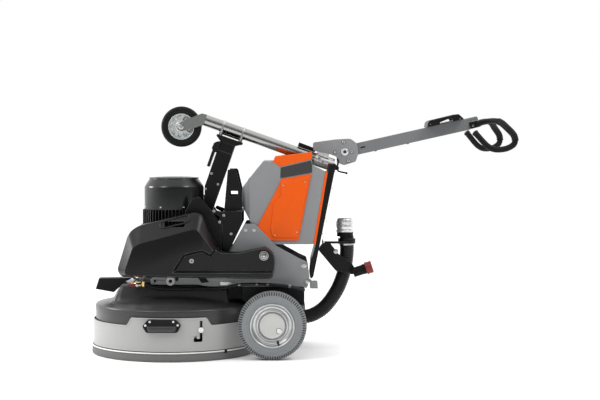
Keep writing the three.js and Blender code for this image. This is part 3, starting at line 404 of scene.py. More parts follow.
def sweep(mesh, path, radius, sides=20, finish=0):
    """A round bar along a path. radius is a number, or a function of the distance run."""
    points = [Vector(p) for p in path]
    run = 0.0
    across = None
    rings = []
    for i, here in enumerate(points):
        along = (points[min(i + 1, len(points) - 1)] - points[max(i - 1, 0)]).normalized()
        if across is None:
            helper = Vector((0, 1, 0)) if abs(along.y) < 0.9 else Vector((1, 0, 0))
            across = along.cross(helper).normalized()
        across = (across - along * across.dot(along)).normalized()
        other = along.cross(across)
        if i:
            run += (here - points[i - 1]).length
        r = radius(run) if callable(radius) else radius
        rings.append([here + (across * math.cos(TAU * k / sides) + other * math.sin(TAU * k / sides)) * r
                      for k in range(sides)])
    return skin(mesh, rings, finish)


def aligned(direction):
    """The rotation that takes +Z to a direction."""
    return Vector((0, 0, 1)).rotation_difference(Vector(direction).normalized()).to_matrix()


def turned(mesh, profile, foot, direction, steps=24, finish=0):
    """A turned shape standing on foot, its axis along direction. Six steps make a hexagon."""
    turn = aligned(direction)
    rings = [[Vector(foot) + turn @ polar(r, TAU * k / steps, h) for k in range(steps)] for r, h in profile]
    return skin(mesh, rings, finish)


def turned_ring(mesh, profile, foot, direction, steps=48, finish=0):
    """A turned ring: a closed profile carried round an axis along direction."""
    turn = aligned(direction)
    rings = [[mesh.verts.new(Vector(foot) + turn @ polar(r, TAU * k / steps, h)) for r, h in profile]
             for k in range(steps)]
    return stitch(mesh, rings, finish)


def cap_screw(mesh, foot, direction, r, finish=0, seat=0):
    """A socket-head screw on a washer of material seat. Its socket has the one after finish, painted dark
    as the shade inside the socket.
    """
    turned(mesh, [(r * 1.3, 0), (r * 1.36, r * 0.06), (r * 1.36, r * 0.18), (r * 1.28, r * 0.24)],
           foot, direction, 24, seat)
    top = r * 0.85
    turned(mesh, [(r, r * 0.2), (r, top), (r * 0.92, top + r * 0.1), (r * 0.50, top + r * 0.1),
                  (r * 0.46, top - r * 0.35), (0.05, top - r * 0.35)], foot, direction, 24,
           [finish] * 3 + [finish + 1] * 2)


def hex_bolt(mesh, foot, direction, r, finish=0):
    """A hexagon bolt head on a washer."""
    turned(mesh, [(r * 1.5, 0), (r * 1.56, r * 0.06), (r * 1.56, r * 0.2), (r * 1.45, r * 0.26)],
           foot, direction, 28, finish)
    turned(mesh, [(r, r * 0.26), (r, r * 0.85), (r * 0.86, r * 0.98), (0.05, r * 1.0)],
           foot, direction, 6, finish)


def dome_screw(mesh, foot, direction, r, finish=0):
    """A low domed screw."""
    turned(mesh, [(r, 0), (r, r * 0.2), (r * 0.85, r * 0.42), (r * 0.45, r * 0.55),
                  (r * 0.42, r * 0.3), (0.05, r * 0.3)], foot, direction, 20, finish)


def screws(name, body, finish, kind, r, feet, out, **look):
    """A piece that is a set of screws of one kind, all facing out."""
    mesh = bmesh.new()
    for foot in feet:
        kind(mesh, foot, out, r)
    piece(name, mesh, body, finish, **look)


def carve(made, cutter):
    """Cuts a bmesh solid, in millimetres, out of a piece, for good."""
    tool = to_object("cutter", cutter)
    step = made.modifiers.new("cut", "BOOLEAN")
    step.operation = "DIFFERENCE"
    step.solver = "EXACT"
    step.object = tool
    bpy.context.view_layer.objects.active = made
    made.modifiers.move(made.modifiers.find("cut"), 0)
    bpy.context.view_layer.update()
    with bpy.context.temp_override(object=made, active_object=made, selected_objects=[made]):
        bpy.ops.object.modifier_apply(modifier="cut")
    data = tool.data
    bpy.data.objects.remove(tool)
    bpy.data.meshes.remove(data)


def tube_point(s, h=0.0, y=0.0):
    """A point s along the sloping tube from its front end, and h above its axis."""
    along = Vector((math.cos(TUBE_SLOPE), 0, -math.sin(TUBE_SLOPE)))
    up = Vector((math.sin(TUBE_SLOPE), 0, math.cos(TUBE_SLOPE)))
    corner = Vector((low("top_tube").x, y, high("top_tube").z))
    front = corner + Vector((TUBE_R * up.x, 0, -TUBE_R * up.z))
    return front + along * s + up * h


def arm_point(s, h=0.0, y=0.0):
    """A point s along the handle arm from its pivot, and h above its middle line."""
    along = Vector((math.cos(ARM_SLOPE), 0, math.sin(ARM_SLOPE)))
    up = Vector((-math.sin(ARM_SLOPE), 0, math.cos(ARM_SLOPE)))
    return Vector((HANDLE.x, y, HANDLE.z)) + along * s + up * h


TUBE_ALONG = tube_point(1) - tube_point(0)
TUBE_UP = tube_point(0, 1) - tube_point(0)
ARM_ALONG = arm_point(1) - arm_point(0)
ARM_UP = arm_point(0, 1) - arm_point(0)


def smooth_step(t):
    t = min(1.0, max(0.0, t))
    return t * t * (3 - 2 * t)


def refine(node, finish, bevel=1.0):
    """A CAD node that stays: its own finish, and its edges rounded by modifiers."""
    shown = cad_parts[node]
    shown.data.materials.clear()
    shown.data.materials.append(finish)
    shown.data.polygons.foreach_set("material_index", [0] * len(shown.data.polygons))
    normals = shown.data.attributes.get("custom_normal")
    if normals:
        shown.data.attributes.remove(normals)
    shown.data.shade_smooth()
    weld = shown.modifiers.new("weld", "WELD")
    weld.merge_threshold = 0.02 * MM
    flatten = shown.modifiers.new("flatten", "DECIMATE")
    flatten.decimate_type = "DISSOLVE"
    flatten.angle_limit = math.radians(1.5)
    rounding = shown.modifiers.new("rounding", "BEVEL")
    rounding.width = bevel * MM
    rounding.segments = 2
    rounding.limit_method = "ANGLE"
    rounding.angle_limit = math.radians(32)
    rounding.use_clamp_overlap = False
    rounding.harden_normals = True


# ---------------------------------------------------------------- grinding head
RING_LOW_SPAN = math.radians(31)
RING_TOP_SPAN = math.radians(26)
RING_DROP = 40
LOCK_X = HEAD.x + 161
LOCK_Z = 157
GRIP_X = HEAD.x - 31


def dust_skirt():
    floor = low("dust_skirt").z
    top = high("dust_skirt").z
    inside = 402
    profile = [(inside, floor), (418, floor), (423, floor + 1.5), (425.2, floor + 5), (SKIRT_R, floor + 10)]
    profile += around(SKIRT_R, top, [(0, -14), (-1.5, -11), (-5, -10), (-10, -1.5), (-12, 0)])
    mesh = revolve(profile + [(inside, top)], HEAD_FOOT, steps=180)
    piece("skirt", mesh, "shroud", SKIRT_RUBBER, "dust_skirt", sharp=50)
    lip = [(SKIRT_R - 1 + 3.8 * math.cos(TAU * k / 10), top - 5.5 + 3.6 * math.sin(TAU * k / 10))
           for k in range(10)]
    # The bead is painted near-white as the highlight along its rounded lip.
    piece("skirt_bead", revolve(lip, HEAD_FOOT, steps=180), "shroud", BEAD_PAINTED_HIGHLIGHT)
    # A black band under the ring, painted as the shade in the groove between ring and bead.
    band = around(RING_R, top, [(-7, -2), (1.2, -2), (1.2, 4), (-7, 4)])
    piece("skirt_groove_shade_band", revolve(band, HEAD_FOOT, steps=180), "shroud", BLACK_PAINT)
    # The two clips that close the bead.
    mesh = bmesh.new()
    for turn in (-49, 131):
        angle = math.radians(turn)
        spot = Vector(HEAD_FOOT) + polar(SKIRT_R, angle, top - 9)
        half = Vector((3.5, 8, 7))
        block(mesh, spot - half, spot + half, turn=Matrix.Rotation(angle, 3, "Z"))
    piece("skirt_bead_clips", mesh, "shroud", GRIP_RUBBER_AND_SHADE, bevel=1.0)


def shroud_ring():
    bottom = low("shroud_ring").z
    top = high("shroud_ring").z
    inner = RING_R - 4

    def rim(angle, r, h):
        """The rim stands higher at both sides than in front and behind."""
        if h < bottom + 60:
            return r, h
        off = math.asin(abs(math.cos(angle)))
        drop = RING_DROP * smooth_step((off - RING_TOP_SPAN) / (RING_LOW_SPAN - RING_TOP_SPAN))
        return r, h - drop

    profile = [(inner, bottom)]
    profile += around(RING_R, bottom, [(0, 0), (2.4, 1.5), (2.4, 6), (0, 8), (0, 48)])
    profile += around(RING_R, top, [(0, -8), (2.2, -6.5), (2.2, -2), (0, 0)])
    mesh = revolve(profile + [(inner, top)], HEAD_FOOT, steps=360, shape=rim)
    ring = piece("ring", mesh, "shroud", RING_PAINT, "shroud_ring", sharp=40)
    slot = around(LOCK_X, 0, [(-6.5, 203), (6.5, 203), (6.5, 98), (-36, 98), (-36, 127), (-21, 127),
                              (-21, 113), (-6.5, 113)])
    for side in BOTH:
        carve(ring, slab(bmesh.new(), rounded(slot, 4), side * 300, side * (RING_R + 20)))
    soften(ring, 0, 40)


def grip_plate(name, side):
    face = side * (RING_R + 22)
    outline = around(GRIP_X, 0, [(-96, 182), (-68, 214), (68, 214), (96, 186), (78, 149), (-76, 149)])
    mesh = slab(bmesh.new(), rounded(outline, 9), side * 396, face)
    grip = piece(f"grip_{name}", mesh, "shroud", BLACK_PAINT, f"shroud_grip_{name}")
    inside = [(RING_R + 0.4, 0), (RING_R + 0.4, 200)]
    carve(grip, turned(bmesh.new(), inside, (HEAD.x, 0, 90), UP, 240))
    carve(grip, block(bmesh.new(), (GRIP_X - 60, side * 400, 130), (GRIP_X + 60, side * 436, 200)))
    soften(grip, 2.2, 35)

    # The lower half bulges outwards, so that fingers fit behind it.
    rings = []
    for out, half, top in ((0, 74, 181), (2.5, 72, 179), (5.5, 66, 174), (7, 60, 169)):
        edge = around(GRIP_X, 0, [(-half, top), (half, top), (half - 7, 153 + out), (7 - half, 153 + out)])
        rings.append([Vector((x, face + side * out, z)) for x, z in rounded(edge, 7)])
    piece(f"grip_bulge_{name}", skin(bmesh.new(), rings), "shroud", COVER_PLASTIC, sharp=50)
    feet = [(GRIP_X + dx, face, z) for dx, z in ((-58, 204), (58, 204), (-80, 186), (80, 187))]
    screws(f"grip_screws_{name}", "shroud", WHITE_NYLON, dome_screw, 5.5, feet, (0, side, 0))


def lock_knob(name, side):
    """The height lock: a knob on a stem that reaches through the ring's slot."""
    surface = math.sqrt(RING_R ** 2 - (LOCK_X - HEAD.x) ** 2)
    foot = Vector((LOCK_X, side * (surface - 18), LOCK_Z))
    mesh = bmesh.new()
    out = Vector((0, side, 0))
    turned(mesh, [(5, 0), (5, 22)], foot, out, 20, 1)
    turned(mesh, [(11, 19.5), (13, 20.5), (13.5, 23), (13.5, 28), (12.2, 31), (9, 32.4),
                  (4, 32.8), (0.1, 32.8)], foot, out, 36)
    piece(f"lock_knob_{name}", mesh, "chassis", [WHITE_NYLON, BOLT_STEEL], sharp=40)


HUMP_FROM, HUMP_TO = -331, 300
HUMP_HALF_WIDTH = 205
HUMP_FOOT = 250
SHOULDER, DIP, CROWN = 256, 273, 296
DIP_R = 330


def cover_height(u, v):
    """The height of the moulded cover at (u, v) from the head's axis."""
    r = math.hypot(u, v)
    if r > DIP_R:
        cone = DIP + (SHOULDER - DIP) * (r - DIP_R) / 66
    else:
        cone = DIP + (CROWN - DIP) * min(1, (DIP_R - r) / 130)
    ahead = (u - HUMP_FROM) / 75
    behind = (HUMP_TO - u) / 30
    beside = (HUMP_HALF_WIDTH - abs(v)) / 47
    inside = 1.0
    for share in (ahead, behind, beside):
        inside *= smooth_step(share * 0.92 + 0.04)
    hump = HUMP_FOOT + (HUMP_TOP - HUMP_FOOT) * inside
    blend = 14.0
    mix = min(1, max(0, 0.5 + (hump - cone) / (2 * blend)))
    return cone + (hump - cone) * mix + blend * mix * (1 - mix)


def head_cover():
    bottom = low("head_cover").z
    hub = 121
    wall = 5
    steps = 288
    corner_r, drop = 12, 13
    shoulder = COVER_R - corner_r
    radii = [hub + (shoulder - hub) * k / 76 for k in range(77)]
    corner = [math.pi / 12 * j for j in range(1, 7)]
    skirt = around(COVER_R, bottom, [(0, 60), (0, 58), (-1.5, 57), (-1.5, 0), (-wall, 0)])
    mesh = bmesh.new()
    rings = []
    for k in range(steps):
        angle = TAU * k / steps
        c, s = math.cos(angle), math.sin(angle)
        edge = cover_height(shoulder * c, shoulder * s) - drop
        profile = [(r, cover_height(r * c, r * s)) for r in radii]
        profile += [(shoulder + corner_r * math.sin(t), edge + drop * math.cos(t)) for t in corner]
        profile += skirt + [(COVER_R - wall, edge)]
        profile += [(r - 1, cover_height(r * c, r * s) - wall) for r in reversed(radii[::4])]
        rings.append([mesh.verts.new((HEAD.x + r * c, r * s, z)) for r, z in profile])
    stitch(mesh, rings)
    piece("cover", mesh, "chassis", COVER_PLASTIC, "head_cover", sharp=45)

    # The port that the suction hose is pushed over.
    end = Vector((high("head_cover").x - 21.7, 0, 304))
    profile = [(34, -64), (41, -64), (41, -14), (43, -12), (43, -8), (41, -6), (41, -1), (40, 0), (35, 0)]
    mesh = turned_ring(bmesh.new(), profile, end, Vector((48, 0, 30)).normalized())
    piece("cover_port", mesh, "chassis", COVER_PLASTIC, sharp=40)


def tool_disc(number):
    node = f"tool_disc_{number}"
    foot = Vector((middle(node).x, middle(node).y, 0))
    mesh = revolve([(0.02, 20), (128, 20), (134, 22), (135, 25), (135, 31), (132, 34), (60, 38), (54, 41),
                    (51, 48), (51, 92), (47, 96), (20, 96), (20, 136), (43, 136), (45, 138), (45, 178),
                    (43, 180), (0.02, 180)], foot)
    outline = rounded([(-17, -7), (17, -7), (17, 7), (-17, 7)], 6)
    for k in range(4):
        turn = Matrix.Rotation(TAU * k / 4, 3, "Z")
        spot = foot + turn @ Vector((111, 0, 0))
        skin(mesh, [[spot + turn @ Vector((x * grow, y * grow, z)) for x, y in outline]
                    for z, grow in ((22, 1), (2, 1), (0, 0.92))], 1)
    piece(f"disc_{number}", mesh, f"disc_{number}", [DISC_STEEL, BRASS], node, sharp=35)


# ---------------------------------------------------------------- motor
COWL_TOP = high("motor_cowl").z
COWL_FOOT = low("motor_cowl").z
FIN_COUNT = 56


def motor():
    foot, top = low("motor_body").z, high("motor_body").z
    valley = FIN_R - 26
    flange = foot + 18
    fin = ((0.0, FIN_R - 0.7), (0.03, FIN_R), (0.17, FIN_R), (0.20, FIN_R - 0.7),
           (0.27, valley + 2), (0.36, valley), (0.84, valley), (0.93, valley + 2))
    turns = [(TAU * (k + share) / FIN_COUNT, r) for k in range(FIN_COUNT) for share, r in fin]
    outline = [(r * math.cos(angle), r * math.sin(angle)) for angle, r in turns]
    levels = ((flange - 2, 1.0), (top - 6, 1.0), (top - 1, 0.985))
    mesh = skin(bmesh.new(), [[Vector((HEAD.x + x * grow, y * grow, z)) for x, y in outline]
                              for z, grow in levels])
    turned(mesh, [(FIN_R - 4, 0), (FIN_R, 2), (FIN_R, flange - foot - 3), (FIN_R - 3, flange - foot)],
           (HEAD.x, 0, foot), UP, 96)
    piece("motor_housing", mesh, "chassis", MOTOR_PAINT, "motor_body", sharp=28)
    feet = [Vector(HEAD_FOOT) + polar(FIN_R - 12, TAU * (k + 0.5) / 8, flange) for k in range(8)]
    screws("motor_bolts", "chassis", BOLT_STEEL, hex_bolt, 7, feet, UP)


def motor_cowl():
    mouth = 112
    shoulder = COWL_TOP - 45
    profile = around(COWL_R, COWL_FOOT, [(-3, 0), (0, 0), (0, 4)])
    profile += around(COWL_R, shoulder, [(0, -9), (-0.6, -4), (-2.4, 1), (-4.6, 5)])
    profile += around(0, COWL_TOP, [(129, -9), (127.5, -7), (127.5, -5.4), (130, -4.4), (130.6, -3),
                                    (130, -0.8), (126, 0), (mouth, 0), (mouth, -4), (120, -6)])
    profile += around(COWL_R, shoulder, [(-12, 4), (-3, -12)])
    mesh = revolve(profile, HEAD_FOOT, steps=128)
    piece("cowl", mesh, "chassis", COWL_PAINT, "motor_cowl", sharp=40)
    mesh = bmesh.new()
    for r in (22, 36, 50, 64, 78, 92, 106):
        wire = [(r + 2.2 * math.cos(TAU * k / 8), COWL_TOP - 3 + 2.2 * math.sin(TAU * k / 8))
                for k in range(8)]
        revolve(wire, HEAD_FOOT, steps=72, mesh=mesh)
    start = Vector((HEAD.x, 0, COWL_TOP - 6))
    for k in range(4):
        spoke = polar(1, TAU * (k + 0.5) / 4)
        sweep(mesh, [start + spoke * reach for reach in (8, 60, mouth + 3)], 2.6, 10)
    turned(mesh, [(22, -6), (22, 0), (20, 1.5), (0.1, 2)], (HEAD.x, 0, COWL_TOP - 2), UP, 32)
    piece("cowl_grille", mesh, "chassis", BLACK_PAINT)
    mesh = bmesh.new()
    for k in range(8):
        out = polar(1, TAU * (k + 0.5) / 8)
        dome_screw(mesh, Vector((HEAD.x, 0, COWL_FOOT + 12)) + out * COWL_R, out, 5)
    piece("cowl_screws", mesh, "chassis", BOLT_STEEL)


# ---------------------------------------------------------------- wheels
TREAD_BLOCKS = 84
TREAD_R = 151
GROOVE = 0.42
POCKETS = 9
POCKET_FROM, POCKET_TO = 30, 56


def main_wheel(name, side):
    body = f"wheel_{name}"
    tyre = f"tyre_{name}"
    half = (high(tyre).y - low(tyre).y) / 2
    centre = Vector((WHEEL.x, side * abs(middle(tyre).y), WHEEL.z))

    def in_groove(angle, h):
        """Grooves cross the shoulders, staggered from side to side."""
        return (angle * TREAD_BLOCKS / TAU + (0.5 if h > 0 else 0)) % 1 < GROOVE

    def tread(angle, r, h):
        out = half - abs(h)
        if r < TREAD_R or out > 30 or not in_groove(angle, h):
            return r, h
        depth = 6.5 * min(1, (r - TREAD_R) / 5) * min(1, (30 - out) / 6)
        return r - 6 * min(1, (r - TREAD_R) / 18), h - math.copysign(depth, h)

    profile = both_ways([
        (113, 33), (117, 35.5), (124, 37.6), (129, 38.4), (130, 39.1), (132.5, 39.1), (133.5, 38.8),
        (141, 39.8), (149, 39.4), (151.5, 39.2), (153, 39.2), (160, 37.6), (165.5, 34.6), (169, 30.6),
        (171.6, 25), (WHEEL_R, 20), (WHEEL_R, 14), (169, 13.4), (169, 10.6), (WHEEL_R, 10),
        (WHEEL_R, 2), (169.5, 1.4)])
    mesh = revolve(profile, centre, "Y", TREAD_BLOCKS * 9, tread)
    # Faces down in the shoulder grooves take the near-black material: painted shade in the grooves.
    for face in mesh.faces:
        spot = face.calc_center_median() - centre
        shoulder = math.hypot(spot.x, spot.z) > TREAD_R + 2 and half - abs(spot.y) < 32
        face.material_index = int(shoulder and in_groove(math.atan2(spot.z, spot.x), spot.y))
    piece(f"{body}_tyre", mesh, body, [GREY_TYRE, SEAM_AND_SHADE_BLACK], tyre, sharp=38)

    outer = 33
    face = [(112.5, -3), (112.5, 1.5), (110.5, 3.6), (107.5, 4), (104.5, 2.5), (102.5, -1), (101, -8),
            (98, -13), (93, -16), (87, -16.5), (82, -14.5), (79.5, -10.5), (76.5, -8.5), (72.5, -8.8),
            (69, -12), (65.5, -14), (62, -14), (16, -14)]
    back = [(16, -33), (24, -33), (24, 6), (60, 8), (98, 8), (104, -26), (107, -31), (112.5, -33)]
    cap = [(62.5, -15), (62.5, -2), (61.2, 0.4), (58, 1.2), (55.2, 0), (53.5, -1.6), (50, -2.2),
           (0.02, -2), (0.02, -15)]
    rim = [(r, side * h) for r, h in around(0, outer, face) + back]
    piece(f"{body}_rim", revolve(rim, centre, "Y", 120), body, BRUSHED, f"rim_{name}", sharp=50)
    cap = [(r, side * h) for r, h in around(0, outer, cap)]
    piece(f"{body}_hub_cap", revolve(cap, centre, "Y"), body, CAP_PAINT, sharp=40)
    spot = centre + Vector((34, side * (outer - 2.2), -25))
    plug = [(15.5, -1), (15.5, 0.3), (13, 0.4), (13, 2.4), (11.6, 3.4), (7, 3.9), (0.1, 4)]
    # The plug's outer step takes the near-black material, painted shade in the gap round the plug.
    mesh = turned(bmesh.new(), plug, spot, (0, side, 0), 32, [1, 1, 0, 0, 0, 0])
    piece(f"{body}_cap_plug", mesh, body, [WHITE_NYLON, SEAM_AND_SHADE_BLACK], sharp=40)
    mesh = bmesh.new()
    foot = centre + Vector((28, side * (outer - 16), -84))
    out = (0.05, side, -0.16)
    turned(mesh, [(6, -3), (6, 2), (4.4, 5), (4.2, 16), (3.6, 17)], foot, out, 20)
    turned(mesh, [(4.8, 15), (4.8, 22), (4, 23.4), (0.1, 23.6)], foot, out, 16)
    piece(f"{body}_valve", mesh, body, BLACK_TYRE)


def support_wheel():
    rim_r = (high("support_rim").z - low("support_rim").z) / 2
    profile = [(rim_r, 19), (74, 21.5), (84, 24), (92, 25), (95, 24.4), (99, 21), (102.4, 16),
               (SUPPORT_R - 0.6, 10), (SUPPORT_R, 5)]
    mesh = revolve(both_ways(profile), SUPPORT, "Y", 112)
    piece("support_wheel_tyre", mesh, "support_wheel", BLACK_TYRE, "support_tyre", sharp=60)

    def pockets(angle, r, h):
        """Pressed pockets round the wheel's disc."""
        if not POCKET_FROM < r < POCKET_TO:
            return r, h
        turn = abs((angle * POCKETS / TAU) % 1 - 0.5) * 2
        depth = 6 * smooth_step((0.86 - turn) / 0.4)
        depth *= smooth_step((r - POCKET_FROM) / 7) * smooth_step((POCKET_TO - r) / 7)
        return r, h - math.copysign(depth, h)

    profile = [(9, 24), (19, 24), (21.5, 22), (23, 17), (26, 13.6), (29.9, 13)]
    profile += [(r, 13) for r in (32, 34.5, 37, 40, 43, 46, 49, 51.5, 54, 56.2)]
    profile += [(59, 14.5), (61, 18), (63.5, 19.8), (66, 20.2), (rim_r + 1, 19)]
    mesh = revolve(both_ways(profile), SUPPORT, "Y", 216, pockets)
    piece("support_wheel_rim", mesh, "support_wheel", CAST_ALLOY, "support_rim", sharp=60)
    mesh = bmesh.new()
    for side in BOTH:
        hex_bolt(mesh, SUPPORT + Vector((0, side * 37, 0)), (0, side, 0), 9.5)
    piece("support_axle_bolts", mesh, "chassis", BOLT_STEEL)


# ---------------------------------------------------------------- chassis
def chassis_details():
    for node, finish, bevel in (
            ("chassis_plate_left", GREY_PAINT, 1.4), ("chassis_plate_right", GREY_PAINT, 1.4),
            ("chassis_deck", BLACK_PAINT, 1.2), ("axle_frame", BLACK_PAINT, 1.4),
            ("front_guard", BLACK_PAINT, 0.8), ("mast", BLACK_PAINT, 1.6),
            ("mast_yoke", BLACK_PAINT, 1.4), ("work_lamp", BLACK_PAINT, 1.4),
            ("lifting_yoke", BLACK_PAINT, 1.2), ("support_fork", FORK_PAINT, 1.4),
            ("hose_bracket", BLACK_PAINT, 1.0), ("brake_pedal", GREY_PAINT, 0.7),
            ("planet_drum", DISC_STEEL, 1.5), ("planet_belt", BLACK_TYRE, 0.6),
            ("motor_rotor", BRUSHED, 1.2), ("motor_fan", COVER_PLASTIC, 0.8),
            ("frequency_drive", GREY_PAINT, 2.0)):
        refine(node, finish, bevel)
    for name, side in SIDES:
        y = side * PLATE_FACE
        out = (0, side, 0)
        opening = (HEAD.x - 7, y, 379)
        corner = Vector((high(f"chassis_plate_{name}").x, y, low(f"chassis_plate_{name}").z))
        mesh = bmesh.new()
        hex_bolt(mesh, corner + Vector((-29, 0, 117)), out, 9.5)
        hex_bolt(mesh, corner + Vector((-14, 0, 33)), out, 8)
        slab(mesh, rounded([(-413, 359), (-413, 376), (-352, 372), (-352, 357)], 4), y, y + side * 3)
        piece(f"chassis_bolts_{name}", mesh, "chassis", BOLT_STEEL, sharp=35)
        ring = [(9, 0), (21, 0), (22, 1), (22, 4.4), (20.6, 5.6), (10, 5.6), (9, 4.8)]
        mesh = turned_ring(bmesh.new(), ring, opening, out)
        piece(f"rail_washer_{name}", mesh, "chassis", CAP_PAINT, sharp=35)
        # Black patches stand in for the openings in the rail: painted shade inside them.
        outline = rounded([(-530, 399), (-489, 399), (-469, 373), (-510, 373)], 4)
        mesh = slab(bmesh.new(), outline, y - side, y + side * 0.8)
        turned(mesh, [(9, -0.5), (9, 1.2)], opening, out, 36)
        piece(f"rail_opening_shade_{name}", mesh, "chassis", GRIP_RUBBER_AND_SHADE, sharp=35)
        feet = [(SHAFT.x + dx, y, SHAFT.z + 118) for dx in (-96, -52)]
        screws(f"plate_screws_{name}", "chassis", ZINC, hex_bolt, 6, feet, out)
        # A rubber apron closes the gap between the side plate and the head cover.
        outline = rounded([(-376, 286), (-376, 351), (-299, 351), (-299, 286)], 5)
        mesh = slab(bmesh.new(), outline, side * 161, side * 157)
        piece(f"apron_{name}", mesh, "chassis", GRIP_RUBBER_AND_SHADE, bevel=1.0)
    # Deck bolts round the motor's foot and at the nose.
    feet = [(x, side * 128, high("chassis_deck").z) for x in (-842, -470, -430) for side in BOTH]
    screws("deck_bolts", "chassis", BOLT_STEEL, hex_bolt, 7, feet, UP)
    # Teeth on the brake pedal's two levels.
    mesh = bmesh.new()
    corner = low("brake_pedal")
    for row in range(5):
        for k in range(12):
            for shift, level in ((0, 345), (-6, 372)):
                foot = (corner.x + 28 + row * 7.5 + shift, corner.y + 12 + k * 7.2, level)
                turned(mesh, [(1.7, -0.5), (1.3, 1.8), (0.1, 2.1)], foot, UP, 8)
    piece("pedal_teeth", mesh, "pedal", DARK_STEEL)


def link_plates():
    """The link plates that tie the mast's yoke to the lifting yoke."""
    outline = [(-456, 735), (-450, 750), (-388, 728), (-380, 716), (-403, 671), (-420, 670), (-427, 682),
               (-410, 706), (-440, 725)]
    for name, side in SIDES:
        mesh = slab(bmesh.new(), rounded(outline, 8), side * LINK_BACK, side * LINK_FACE)
        piece(f"yoke_link_{name}", mesh, "chassis", BLACK_PAINT, bevel=1.2)
        mesh = bmesh.new()
        for x, z in ((-443.4, 737.9), (-394.2, 716.0), (-415.0, 682.0)):
            cap_screw(mesh, (x, side * LINK_FACE, z), (0, side, 0), 5.2)
        cap_screw(mesh, (-357, side * 183, 621), (0, side, 0), 5)
        piece(f"yoke_bolts_{name}", mesh, "chassis", [BOLT_STEEL, GRIP_RUBBER_AND_SHADE], sharp=35)


# ---------------------------------------------------------------- mast and tube
TUBE_LENGTH = 700
MAST_S = 152
STRAPS = (-52, 56)


def top_tube():
    profile = around(TUBE_R, 0, [(-3.2, 0.2), (-1, 0), (0, 1)])
    profile += around(TUBE_R, TUBE_LENGTH, [(0, -1), (-1, 0), (-3.2, 0)])
    mesh = turned_ring(bmesh.new(), profile, tube_point(0), TUBE_ALONG, 64)
    piece("tube", mesh, "chassis", TUBE_STEEL, "top_tube", sharp=30)

    # Two flat straps hold the tube down on the mast's saddle.
    section = ((TUBE_R + 0.3, -5), (TUBE_R + 3.1, -5), (TUBE_R + 3.1, 5), (TUBE_R + 0.3, 5))
    for number, offset in enumerate(STRAPS, 1):
        s = MAST_S + offset
        rings = [[tube_point(s + ds, -52, -r) for r, ds in section]]
        for k in range(25):
            turn = math.pi * k / 24
            rings.append([tube_point(s + ds, r * math.sin(turn), -r * math.cos(turn)) for r, ds in section])
        rings.append([tube_point(s + ds, -52, r) for r, ds in section])
        mesh = skin(bmesh.new(), rings)
        for side in BOTH:
            turned(mesh, [(8.6, -9.4), (9, -9), (9, -2), (8.2, -1)],
                   tube_point(s, -45, side * (TUBE_R + 6)), TUBE_UP, 6)
        piece(f"strap_{number}", mesh, "chassis", ZINC, sharp=30, bevel=0.5)


def mast_details():
    for name, side in SIDES:
        feet = [tube_point(s, h, side * 45)
                for s, h in around(MAST_S, 0, [(-27, -248.5), (-31, -333.6), (22, -290)])]
        finish = [BOLT_STEEL, GRIP_RUBBER_AND_SHADE]
        screws(f"mast_bolts_{name}", "chassis", finish, cap_screw, 4.6, feet, (0, side, 0))
        # The seam where the head is welded to the beam.
        ends = around(MAST_S, 0, [(-39, -123.5), (39, -123.5), (39, -121), (-39, -121)])
        mesh = skin(bmesh.new(), [[tube_point(s, h, side * y) for s, h in ends] for y in (44.6, 45.6)])
        piece(f"mast_seam_{name}", mesh, "chassis", SEAM_AND_SHADE_BLACK)
    # The lamp's lens and its rim, on the front of the housing.
    mesh = bmesh.new()
    turn = Matrix([TUBE_ALONG, (0, 1, 0), TUBE_UP]).transposed()
    centre = tube_point(MAST_S - 67, -106)
    outline = rounded([(-50, -11), (50, -11), (50, 11), (-50, 11)], 6)
    for depth, size, finish in ((0, 1.0, 0), (1.6, 0.9, 1)):
        skin(mesh, [[centre + turn @ Vector((-d, y * size, z * size)) for y, z in outline]
                    for d in (depth - 4, depth + 1.5)], finish)
    piece("lamp_lens", mesh, "chassis", [BLACK_PAINT, LAMP_LENS], bevel=0.8)


# ---------------------------------------------------------------- swinging weights
OUTLINE = [(-738, -76), (-717, -110), (42, -122), (57, -50), (53, -5), (33, 26), (-9, 39), (-70, 26),
           (-120, 15), (-208, 15), (-238, 34), (-282, 131), (-305, 189), (-325, 208), (-352, 212),
           (-634, 146), (-680, 112)]
FACE = [(-696, -76), (-690, -98), (38, -114), (51, -50), (47, -7), (29, 20), (-9, 32), (-70, 19),
        (-120, 8), (-210, 8), (-244, 18), (-286, 70), (-324, 118), (-336, 128), (-357, 131), (-630, 58),
        (-654, 40)]
CORNERS = [16, 16, 22, 22, 22, 22, 30, 30, 30, 24, 26, 60, 30, 26, 30, 30, 30]
BACK_Y = 190
EDGE_Y = 285
FACE_Y = 340
FLOOR_Y = FACE_Y - 22
CAP_Y = 345
# Radii of the shaft cap's grooves, painted near-black as shade.
CAP_SHADE_BANDS = ((15.7, 19.5), (8.5, 10.7))


